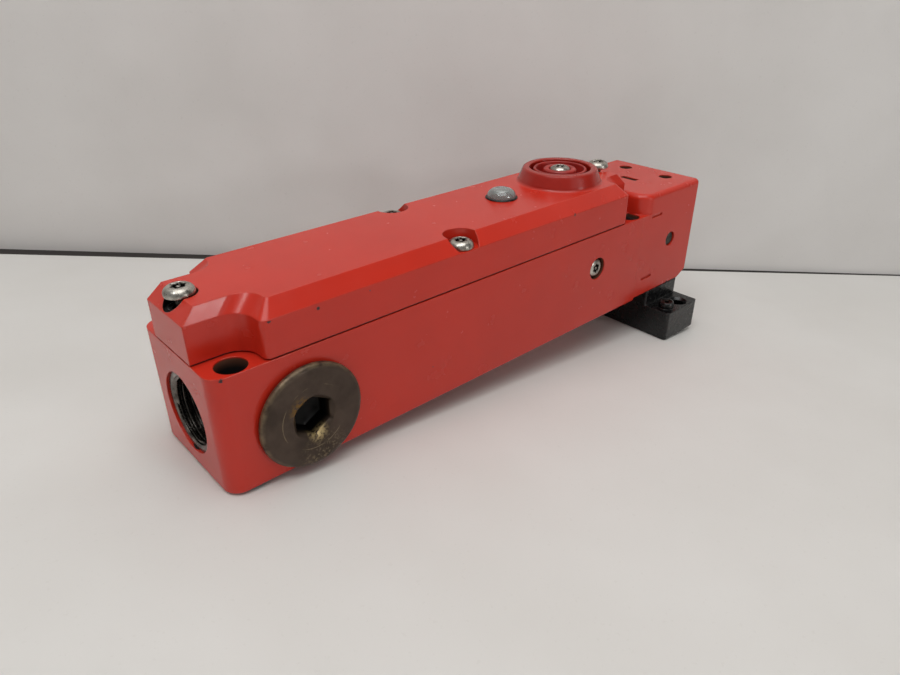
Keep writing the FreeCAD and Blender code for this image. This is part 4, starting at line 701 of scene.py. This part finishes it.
def reshape(obj: Object, heights: tuple[float, float], radii: tuple[float, float],
            law: Callable[[float], float]) -> None:
    """Gives a round wall another outline.

    Args:
        obj: The turned piece, before it is put in place.
        heights: The band's lowest and highest points in mm.
        radii: The wall's smallest and largest radius in mm.
        law: The factor on the radius at each angle.
    """
    groups: dict[float, list[int]] = {}
    for vertex in obj.data.vertices:
        radius, height = vertex.co.xy.length / MM, vertex.co.z / MM
        if heights[0] <= height <= heights[1] and radii[0] <= radius <= radii[1]:
            factor = round(law(math.atan2(vertex.co.y, vertex.co.x)), 5)
            groups.setdefault(factor, []).append(vertex.index)
    for factor, vertices in groups.items():
        with editing(obj, vertices):
            bpy.ops.transform.resize(value=(factor, factor, 1), center_override=(0, 0, 0))


def six_lobes(angle: float) -> float:
    """The factor on a six-lobed drive's radius at an angle."""
    return 1.0 + 0.13 * math.cos(6 * angle)


def hexagon(angle: float) -> float:
    """The factor that turns a circle into the hexagon round it."""
    return 1 / math.cos(angle % (math.pi / 3) - math.pi / 6)


def joined(name: str, pieces: Sequence[Object]) -> Object:
    """Joins pieces into one.

    Args:
        name: The joined piece's name.
        pieces: The pieces, each still at the origin.

    Returns:
        The joined piece.
    """
    deselect_all()
    for piece in pieces:
        piece.select_set(True)
    bpy.context.view_layer.objects.active = pieces[0]
    bpy.ops.object.join()
    obj = bpy.context.object
    obj.name = obj.data.name = name
    return obj


def soften(obj: Object, width: float, segments: int = 2, angle: float = 32.0) -> None:
    """Bevels a piece's sharp edges and smooths the rest.

    Args:
        obj: The piece.
        width: The bevel's width in mm.
        segments: How many faces make the bevel.
        angle: The sharpest turn, in degrees, that is still smooth.
    """
    if width:
        apply(obj, "BEVEL", width=width * MM, segments=segments, limit_method="ANGLE", angle_limit=math.radians(angle),
              use_clamp_overlap=True, harden_normals=False)
    pick(obj)
    bpy.ops.object.shade_smooth_by_angle(angle=math.radians(angle))


def place(obj: Object, at: Sequence[float], facing: Facing) -> Object:
    """Puts a piece in place, with the place in its mesh.

    Args:
        obj: The piece, standing at the origin.
        at: Where its own origin goes, in mm.
        facing: Where its own height points.

    Returns:
        The same piece.
    """
    turn = Vector(facing.value).to_track_quat("Z", "X").to_matrix().to_4x4()
    obj.matrix_world = Matrix.Translation(Vector(at) * MM) @ turn
    pick(obj)
    bpy.ops.object.transform_apply(location=True, rotation=True, scale=True)
    return obj


def copy_of(obj: Object, name: str) -> Object:
    """Copies a piece, with a mesh of its own."""
    twin = obj.copy()
    twin.data = obj.data.copy()
    twin.name = twin.data.name = name
    bpy.context.scene.collection.objects.link(twin)
    return twin


def fit(obj: Object, body: Body, material: Material, slot: str, *nodes: str) -> Object:
    """Dresses a finished piece and seats it on its body.

    Args:
        obj: The piece, in place.
        body: The body it rides on.
        material: Its material.
        slot: Not used.
        nodes: The CAD nodes it stands for.

    Returns:
        The same piece.
    """
    obj.data.materials.clear()
    obj.data.materials.append(material)
    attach(obj, body.value)
    if nodes:
        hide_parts(*nodes)
    log.info("%s rides on %s", obj.name, body.value)
    return obj


# ---------------------------------------------------------------- finishes


class Shop:
    """Builds each finish once and hands it out."""

    def __init__(self) -> None:
        """Starts with nothing built."""
        self.built: dict[str, Material] = {}

    def get(self, finish: Any) -> Material:
        """Returns a finish's material, built at its first use."""
        if finish.name not in self.built:
            self.built[finish.name] = finish.build()
        return self.built[finish.name]


PAINT = StovedPaint()
PLUG_FINISH = BlackenedPlug()
# cold-headed stainless steel: satin grey-white, with painted shade darkening each drive
DRIVE = (1.85, 1.85)
SCREW_STEEL = Metal("cold_headed_stainless", "#C6C2B9", "#8C877E", (0.24, 0.38), depth=0.0015, patch=2.6, recesses=(
    ((-80.9, 0.0, 50.3), DOWN, DRIVE), ((77.6, 0.0, 51.4), DOWN, DRIVE), ((-5.5, 16.0, 46.8), DOWN, DRIVE),
    ((56.1, 0.0, 53.5), DOWN, DRIVE), ((56.1, -19.6, 21.1), INWARD, DRIVE)))
# rolled stainless strip: long faint lines down its length
STRIP_STEEL = Metal("rolled_stainless_strip", "#C4C4C0", "#A3A29E", (0.18, 0.34), (0.3, 0.25, 9.0), 0.005, 12.0)
# turned stainless bar: fine bright marks round the rod
BAR_STEEL = Metal("turned_stainless_bar", "#C2C1BD", "#9A9994", (0.2, 0.32), (0.18, 1.5, 1.5), 0.004, 5.0)
# the blackened end of a steel pin: almost black, with a dull gleam
DARK_PIN = Metal("blackened_steel_pin", "#4A4B45", "#24231F", (0.3, 0.46), depth=0.004, patch=1.6)
# thread cut in blackened steel: dark, with its thin crests lightened by the painted edge highlight
THREAD_STEEL = Metal("oiled_black_steel_thread", "#77726C", "#34302D", (0.16, 0.32), (0.8, 0.25, 0.25), 0.006, 2.5, 0.2)
# zinc-plated mild steel: cool grey with cloudy crystals
ZINC_PLATE = Metal("zinc_plated_steel", "#B9BDC0", "#8E9398", (0.25, 0.42), (0.9, 0.9, 0.9), 0.004, 3.5)
# hard-drawn spring wire: bright with drawing lines
SPRING_WIRE = Metal("hard_drawn_spring_wire", "#B7B6B2", "#7F7D79", (0.2, 0.34), (0.3, 0.3, 0.3), 0.003, 2.0, 0.05)
# sintered bronze: warm and dull, with open pores
SINTERED = Metal("sintered_bronze", "#A8794A", "#6B4A2C", (0.38, 0.58), (0.22, 0.22, 0.22), 0.02, 1.2)
# stamped brass: yellow and bright, duller in patches
STAMPED_BRASS = Metal("stamped_brass", "#D9B262", "#A98140", (0.2, 0.34), (0.5, 0.5, 2.5), 0.004, 4.0)
# moulded red polyamide: deeper and glossier than the paint
RED_NYLON = Moulding("red_polyamide", "#A5231B", "#8F1C16", "#C9564A", (0.34, 0.46))
# glass-filled black nylon: satin black, greyer where fingers rub
BLACK_NYLON = Moulding("glass_filled_black_nylon", "#060607", "#0B0B0C", "#5A5C59", (0.22, 0.32), 0.3, 0.006, 5.0, 0.4)
# nitrile rubber: flat near-black
NITRILE = Moulding("nitrile_rubber", "#1A1A1B", "#222223", "#2E2E2E", (0.6, 0.75))
# glass-filled polyester: mid grey and dry
GREY_POLYESTER = Moulding("grey_glass_filled_polyester", "#6A6E6E", "#616565", "#8C8F8E", (0.45, 0.6))
# natural acetal: milky white and waxy
ACETAL = Moulding("natural_acetal", "#DDD8C8", "#D2CCBA", "#EBE8DD", (0.3, 0.42))
LENS = ClearMoulding("clear_polycarbonate_lens", "#BDC1BE", "#C6C9C6", 0.3, 0.06)
COVER = ClearMoulding("clear_polycarbonate_cover", "#E9EEEE", "#F6F8F8", 0.05, 0.06)
WINDING = Winding()
LAMINATE = Laminate()

NODE_FINISH: dict[Any, tuple[str, ...]] = {
    PAINT: ("housing", "lid", "head"),
    SCREW_STEEL: ("lid_screws_tight", "lid_screws_loose", "release_screw", "side_release_spindle", "head_screws",
                  "board_screws", "tongue_rivets", "cam_washers", "release_shaft"),
    STRIP_STEEL: ("tongue", "head_end_guide"),
    BAR_STEEL: ("plunger_rod", "lock_bolt"),
    DARK_PIN: ("cam_shaft", "tongue_adjusters"),
    THREAD_STEEL: ("entry_liner",),
    ZINC_PLATE: ("cam_wheel", "release_plate", "solenoid_frame", "solenoid_core", "solenoid_armature",
                 "terminal_screws"),
    SPRING_WIRE: ("plunger_spring", "lock_spring", "release_clip", "side_release_clip"),
    SINTERED: ("plunger_bush", "lock_bush"),
    STAMPED_BRASS: ("contact_bridges", "fixed_contacts", "terminal_clamps", "earth_screw", "earth_clamp"),
    PLUG_FINISH: ("conduit_plug_right", "conduit_plug_left"),
    RED_NYLON: ("release_dial",),
    BLACK_NYLON: ("tongue_base", "led_rim", "lid_screw_washers"),
    NITRILE: ("lid_gasket", "head_gasket", "plug_seals", "release_seal"),
    GREY_POLYESTER: ("contact_block", "terminal_block"),
    ACETAL: ("contact_carrier", "solenoid_bobbin"),
    LENS: ("led_lens",),
    COVER: ("contact_cover",),
    WINDING: ("solenoid_coil",),
    LAMINATE: ("led_board",),
}


def dress_frame(nodes: dict[str, Object], shop: Shop) -> None:
    """Gives every CAD piece its finish.

    Args:
        nodes: The CAD pieces by name.
        shop: Where the materials come from.
    """
    for finish, names in NODE_FINISH.items():
        for name in names:
            if name in nodes:
                nodes[name].data.materials.clear()
                nodes[name].data.materials.append(shop.get(finish))
    bare = set(nodes) - {name for names in NODE_FINISH.values() for name in names}
    if bare:
        log.warning("no finish for %s", sorted(bare))


# ---------------------------------------------------------------- sub-assemblies


@dataclass
class PinnedScrew:
    """A button-headed screw with a six-lobed drive and a pin in its middle."""

    name: str
    head_r: float
    head_h: float
    drive_r: float
    shank_r: float
    shank: float
    neck: float = 0.0           # the thin waist under a captive screw's head
    neck_r: float = 1.4
    pitch: float = 0.7

    def build(self) -> Object:
        """Models the screw with its seat at the origin.

        Returns:
            The screw.
        """
        r, h, d = self.head_r, self.head_h, self.drive_r
        floor = h * 0.42
        waist = [(0, -self.neck), (self.neck_r, -self.neck), (self.neck_r, -0.15)] if self.neck else [(0, 0.02)]
        profile = waist + [
            (self.shank_r, 0), (r * 0.92, 0), (r * 0.985, h * 0.06), (r, h * 0.18), (r * 0.99, h * 0.36),
            (r * 0.95, h * 0.56), (r * 0.87, h * 0.74), (r * 0.76, h * 0.88), (r * 0.64, h * 0.96), (d * 1.16, h),
            (d * 0.98, h * 0.955), (d * 0.95, floor), (0.6, floor - 0.06), (0.55, floor), (0.55, h * 0.84),
            (0.4, h * 0.9), (0, h * 0.91)]
        head = turned(self.name, profile)
        reshape(head, (floor - 0.03, h * 0.96), (d * 0.9, d * 1.0), six_lobes)
        thread = threaded("thread", self.shank_r - 0.38, self.shank_r, self.pitch, self.shank - self.neck, 36)
        with editing(thread, ()):
            bpy.ops.mesh.select_non_manifold(extend=False)
            bpy.ops.mesh.edge_face_add()
        soften(head, 0.05)
        soften(thread, 0.0)
        with editing(thread):
            bpy.ops.mesh.normals_make_consistent(inside=False)
            bpy.ops.transform.translate(value=(0, 0, -self.shank * MM))
        return joined(self.name, [head, thread])


@dataclass
class LidScrews:
    """The lid's four captive screws: two tight at the middle, and one standing off at each end."""

    seat: float = 44.4
    shank: float = 15.4
    tight: tuple[tuple[float, float], ...] = ((-5.5, 16.0), (-5.5, -16.0))
    loose: tuple[tuple[float, float], ...] = ((-80.9, 3.5), (77.6, 4.6))

    def build(self, shop: Shop) -> None:
        """Models one screw and copies it to the four seats."""
        first = PinnedScrew("lid_screw_front", 3.85, 2.4, 1.8, 2.0, self.shank, 7.0).build()
        screws = [first] + [copy_of(first, f"lid_screw_{where}") for where in ("far", "left", "right")]
        seats = [((x, 0, self.seat + lift), "lid_screws_loose") for x, lift in self.loose]
        seats += [((x, y, self.seat), "lid_screws_tight") for x, y in self.tight]
        for screw, (at, node) in zip(screws, seats):
            place(screw, at, Facing.UP)
            fit(screw, Body.SWITCH, shop.get(SCREW_STEEL), "stainless", node)


@dataclass
class ConduitEntry:
    """The open entry's threaded liner in the near end."""

    centre: tuple[float, float] = (0.0, 16.0)
    mouth: float = -84.8
    inner: float = -72.8
    crest: float = 9.25
    root: float = 10.35
    wall: float = 11.15
    pitch: float = 1.81

    def build(self, shop: Shop) -> None:
        """Winds the thread, gives it a wall and closes it with a ring at each end."""
        length = self.inner - self.mouth
        thread = threaded("entry_thread", self.crest, self.root, self.pitch, length - 1.2, 64)
        apply(thread, "SOLIDIFY", thickness=0.5 * MM, offset=1.0, use_rim=True)
        soften(thread, 0.0, angle=50)
        with editing(thread):
            bpy.ops.transform.translate(value=(0, 0, 0.5 * MM))
        w, r = self.wall, self.root
        sleeve = turned("sleeve", [(r + 0.35, 0), (w, 0), (w, length), (r - 0.4, length), (r - 0.9, length - 0.3),
                                   (r - 0.9, length - 0.7), (r + 0.5, length - 0.7), (r + 0.5, 0.9), (r - 0.35, 0.9),
                                   (r + 0.05, 0.25), (r + 0.35, 0)], 96)
        soften(sleeve, 0.08)
        liner = joined("entry_thread", [thread, sleeve])
        place(liner, (self.inner, *self.centre), Facing.NEAR_END)
        fit(liner, Body.SWITCH, shop.get(THREAD_STEEL), "dark_steel", "entry_liner")


@dataclass
class SidePlugs:
    """The blanking plugs in the two side entries, with a hexagon socket in each."""

    x: float = -61.6
    z: float = 15.2
    face: float = 22.6
    flange: float = 14.8
    shank: float = 9.8
    socket: float = 5.0

    def build(self, shop: Shop) -> None:
        """Models one plug and copies it to the other side."""
        f, s = self.flange, self.socket
        profile = [(0, -11.0), (self.shank - 0.8, -11.0), (self.shank, -10.3), (self.shank, -2.05), (f - 0.35, -2.0),
                   (f - 0.06, -1.85), (f, -1.55), (f - 0.05, -1.05), (f - 0.3, -0.6), (f - 0.75, -0.22),
                   (f - 1.3, -0.04), (f - 1.9, 0), (11.0, 0), (8.6, 0), (6.45, 0), (6.2, -0.05), (5.75, -0.5),
                   (s, -1.1), (s, -3.0), (s, -6.1), (4.4, -6.45), (2.0, -6.5), (0, -6.9)]
        right = turned("side_plug_right", profile, 96)
        reshape(right, (-6.2, -1.0), (s - 0.05, s + 0.05), hexagon)
        reshape(right, (-0.55, -0.45), (5.7, 5.8), lambda angle: 1 + 0.35 * (hexagon(angle) - 1))
        soften(right, 0.09)
        left = copy_of(right, "side_plug_left")
        for plug, y, facing in ((right, -self.face, Facing.RIGHT), (left, self.face, Facing.LEFT)):
            place(plug, (self.x, y, self.z), facing)
            fit(plug, Body.SWITCH, shop.get(PLUG_FINISH), "dark_metal", plug.name.replace("side", "conduit"))


@dataclass
class Indicator:
    """The indicator's low lens in its dark rim."""

    x: float = 27.3
    lid: float = 48.3
    lens_r: float = 4.7
    rise: float = 3.0

    def build(self, shop: Shop) -> None:
        """Models the lens with its flat crown, and the rim round it."""
        r, h = self.lens_r, self.rise
        crown = [(0, -2.5), (r - 0.6, -2.5), (r - 0.6, 0.05), (r, 0.05), (r, h * 0.24), (r * 0.985, h * 0.42),
                 (r * 0.93, h * 0.6), (r * 0.84, h * 0.76), (r * 0.72, h * 0.89), (r * 0.6, h * 0.965),
                 (r * 0.5, h), (r * 0.44, h - 0.25), (0, h - 0.3)]
        lens = turned("indicator_lens", crown)
        soften(lens, 0.1, 3)
        place(lens, (self.x, 0, self.lid), Facing.UP)
        fit(lens, Body.SWITCH, shop.get(LENS), "clear_plastic", "led_lens")
        edge = [(r + 0.05, 0.02), (r + 0.6, 0.02), (r + 0.58, 0.25), (r + 0.4, 0.44), (r + 0.22, 0.5), (r + 0.05, 0.42),
                (r + 0.05, 0.02)]
        rim = turned("indicator_rim", edge)
        soften(rim, 0.05)
        place(rim, (self.x, 0, self.lid), Facing.UP)
        fit(rim, Body.SWITCH, shop.get(BLACK_NYLON), "black_plastic", "led_rim")


@dataclass
class ManualRelease:
    """The red release dial inside the lid's ring, and the screw that holds it."""

    x: float = 56.1
    foot: float = 48.2
    dial_r: float = 9.2
    hub_r: float = 5.8
    height: float = 4.6
    screw_seat: float = 51.6

    def build(self, shop: Shop) -> None:
        """Models the dial with its groove, and its screw."""
        r, hub, h = self.dial_r, self.hub_r, self.height
        profile = [(0, 0.02), (r - 0.4, 0), (r, 0.4), (r, h - 0.25), (r - 0.25, h), (r - 0.75, h), (r - 0.95, h - 0.2),
                   (r - 1.0, 1.3), (hub + 0.3, 1.1), (hub, 1.4), (hub - 0.1, h - 0.5), (hub - 0.45, h - 0.12),
                   (hub - 0.8, h - 0.02), (4.1, h - 0.02), (3.75, h - 0.3), (3.7, h - 1.18), (2.2, h - 1.2),
                   (0, h - 1.2)]
        dial = turned("release_dial_red", profile, 96)
        soften(dial, 0.08)
        place(dial, (self.x, 0, self.foot), Facing.UP)
        fit(dial, Body.RELEASE, shop.get(RED_NYLON), "red_plastic", "release_dial")
        screw = PinnedScrew("release_screw_head", 3.5, 1.9, 1.6, 1.9, 8.5).build()
        place(screw, (self.x, 0, self.screw_seat), Facing.UP)
        fit(screw, Body.RELEASE, shop.get(SCREW_STEEL), "stainless", "release_screw")


@dataclass
class SideRelease:
    """The head of the side release spindle in its counterbore."""

    x: float = 56.1
    z: float = 21.1
    seat: float = -17.8

    def build(self, shop: Shop) -> None:
        """Models the head and the outer end of the spindle's shank, which is all that the counterbore shows."""
        screw = PinnedScrew("side_release_head", 3.5, 1.8, 1.6, 2.45, 5.2).build()
        place(screw, (self.x, self.seat, self.z), Facing.RIGHT)
        fit(screw, Body.SIDE_RELEASE, shop.get(SCREW_STEEL), "stainless", "side_release_spindle")


# ---------------------------------------------------------------- bench, light and camera


@dataclass
class Studio:
    """The pale bench that the switch rests on, a painted shadow in the gap behind it, a wall, soft light and the
    camera.
    """

    eye: tuple[float, float, float] = (-0.13254, -0.15349, 0.11810)
    gaze: tuple[float, float, float] = (0.58322245, 0.6528992, -0.48329516)
    roll: float = -0.003915
    lens: float = 27.837
    rest_near: tuple[float, float] = (-85.5, 0.0)       # x and z of the body's foot on the bench, mm
    rest_far: tuple[float, float] = (91.1, -16.7)       # x and z of the key base's foot on the bench, mm
    edge_left: tuple[float, float] = (-88.4, 199.9)     # x and y of the bench's back edge, mm
    edge_right: tuple[float, float] = (275.4, -59.2)
    gaps: tuple[float, float] = (7.0, 2.0)              # the dark gap behind the bench at its left and right, mm
    reach: float = 1500.0                               # how far the bench runs past that edge, and the wall's height
    bench_depth: float = 1600.0
    strip: tuple[float, float, float] = (150.0, 100.0, 14.0)    # the painted shadow strip in the gap: past left, past right, and wide
    shadow_strip_sinks: float = 0.6
    tilt: tuple[float, float, float] = (0.0941, 0.0, 0.9956)    # the way that is up from the bench
    bench_colour: str = "#D6D4D0"
    wall_colour: str = "#D9D6D3"
    shade: tuple[float, float, float] = (0.62, -0.42, 0.66)     # the room's darker side
    lamps: list[tuple[str, tuple[float, float, float], tuple[float, float, float], float, float]] = field(
        default_factory=lambda: [
            ("ceiling_panel", (-0.10, -0.14, 0.88), (0.0, 0.0, 0.02), 0.8, 5.6),
            ("front_panel", (0.12, -0.85, 0.55), (0.0, 0.0, 0.02), 0.6, 0.6),
            ("low_lamp", (0.31, -1.12, 0.25), (-0.02, -0.02, 0.02), 0.12, 1.3),
            ("desk_lamp", (-0.58, -0.10, 0.90), (-0.05, 0.0, 0.04), 0.15, 0.85),
        ])

    def on_bench(self, x: float, y: float) -> Vector:
        """The point of the bench's top over x and y, all in mm."""
        slope = (self.rest_far[1] - self.rest_near[1]) / (self.rest_far[0] - self.rest_near[0])
        return Vector((x, y, self.rest_near[1] + (x - self.rest_near[0]) * slope - 0.05))

    def one_sided(self, name: str, colour: str, speck: str, rough: float) -> Material:
        """A stage finish that is clear from behind, so that it hides nothing in other views.

        Args:
            name: The material's name.
            colour: Its colour.
            speck: The colour of its faint specks.
            rough: Its roughness.

        Returns:
            The material.
        """
        material, tree, where = start(name)
        cloud = mottle(tree, where, 45.0, 0.3, 0.7)
        specks = mottle(tree, where, 1.1, 0.66, 0.72, 2.0, (0.0, 0.12))
        tone = mix(tree, reckon(tree, "MULTIPLY", cloud, 0.18), colour, speck)
        tone = mix(tree, specks, tone, speck)
        skin = add(tree, "BsdfPrincipled", {"Roughness": rough, "IOR": 1.45}, {"Base Color": tone})
        glass = add(tree, "BsdfTransparent")
        behind = add(tree, "NewGeometry").outputs["Backfacing"]
        mixed = add(tree, "MixShader", None, {0: behind, 1: skin.outputs[0], 2: glass.outputs[0]})
        add(tree, "OutputMaterial", None, {"Surface": mixed.outputs[0]})
        return material

    def sheet(self, name: str, corners: Sequence[Vector], material: Material) -> None:
        """Lays a flat stage sheet on four corners, given round it in order and in mm."""
        deselect_all()
        bpy.ops.mesh.primitive_plane_add(size=1.0)
        obj = bpy.context.object
        obj.name = obj.data.name = name
        order = (0, 1, 3, 2)
        for vertex, corner in zip(obj.data.vertices, (corners[i] for i in order)):
            vertex.co = corner * MM
        obj.data.materials.append(material)

    def build(self) -> None:
        """Sets the bench, the painted shadow behind it, the wall, the lamps, the world and the camera."""
        left, right = Vector((*self.edge_left, 0)), Vector((*self.edge_right, 0))
        along = (right - left).normalized()
        back = Vector((-along.y, along.x, 0))
        ends = (left - along * self.reach, right + along * self.reach)
        front = [end - back * self.bench_depth for end in ends]
        top = [self.on_bench(p.x, p.y) for p in (front[0], front[1], ends[1], ends[0])]
        bench = self.one_sided("pale_laminate_bench", self.bench_colour, "#B9B4AC", 0.5)
        self.sheet("bench", top, bench)
        slope = (self.gaps[1] - self.gaps[0]) / (right - left).length
        grows = self.reach * slope
        foot = (ends[0] + back * (self.gaps[0] - grows), ends[1] + back * (self.gaps[1] + grows))
        gap = [self.on_bench(p.x, p.y) for p in foot]
        rise = Vector(self.tilt) * self.reach
        # painted shadow: a dark sheet just under the bench's back edge, in the gap before the wall
        sides = (left - along * self.strip[0], right + along * self.strip[1])
        wide, under = back * self.strip[2], Vector((0, 0, -self.shadow_strip_sinks))
        strip = [self.on_bench(p.x, p.y) + under for p in (*sides, sides[1] + wide, sides[0] + wide)]
        self.sheet("painted_shadow_behind_bench", strip, self.one_sided("painted_gap_shadow", "#2E2926", "#1E1A18", 0.8))
        wall = self.one_sided("matt_wall_paint", self.wall_colour, "#AFAAA4", 0.8)
        self.sheet("wall", [gap[0], gap[1], gap[1] + rise, gap[0] + rise], wall)
        for name, at, to, size, power in self.lamps:
            lamp = bpy.data.lights.new(name, "AREA")
            lamp.shape, lamp.size, lamp.energy = "SQUARE", size, power
            holder = bpy.data.objects.new(name, lamp)
            bpy.context.scene.collection.objects.link(holder)
            holder.location = at
            holder.rotation_euler = (Vector(to) - Vector(at)).to_track_quat("-Z", "Y").to_euler()
        world = bpy.data.worlds.new("room")
        bpy.context.scene.world = world
        world.use_nodes = True
        tree, sky = world.node_tree, world.node_tree.nodes["Background"]
        sky.inputs["Color"].default_value = linear("#F4F3F1")
        way = add(tree, "TexCoord").outputs["Generated"]
        share = add(tree, "VectorMath", {"operation": "DOT_PRODUCT", 1: self.shade}, {0: way})
        light = add(tree, "MapRange", {"From Min": 0.35, "From Max": 0.85, "To Min": 0.31, "To Max": 0.11},
                    {"Value": share.outputs["Value"]})
        tree.links.new(light.outputs[0], sky.inputs["Strength"])
        camera = bpy.data.cameras.new("camera")
        camera.lens, camera.sensor_width, camera.clip_start = self.lens, 36.0, 0.005
        eye = bpy.data.objects.new("camera", camera)
        bpy.context.scene.collection.objects.link(eye)
        eye.location = self.eye
        turn = Vector(self.gaze).to_track_quat("-Z", "Y").to_matrix() @ Matrix.Rotation(self.roll, 3, "Z")
        eye.rotation_euler = turn.to_euler()
        bpy.context.scene.camera = eye
        bpy.context.scene.view_settings.view_transform = "Standard"


def main() -> None:
    """Dresses the frame, adds the finer pieces and sets the bench."""
    logging.basicConfig(level=logging.INFO, format="%(name)s: %(message)s")
    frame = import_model()
    shop = Shop()
    dress_frame(frame["nodes"], shop)
    for assembly in (LidScrews(), ConduitEntry(), SidePlugs(), Indicator(), ManualRelease(), SideRelease()):
        assembly.build(shop)
        log.info("%s done", type(assembly).__name__)
    Studio().build()


if __name__ == "__main__":
    main()
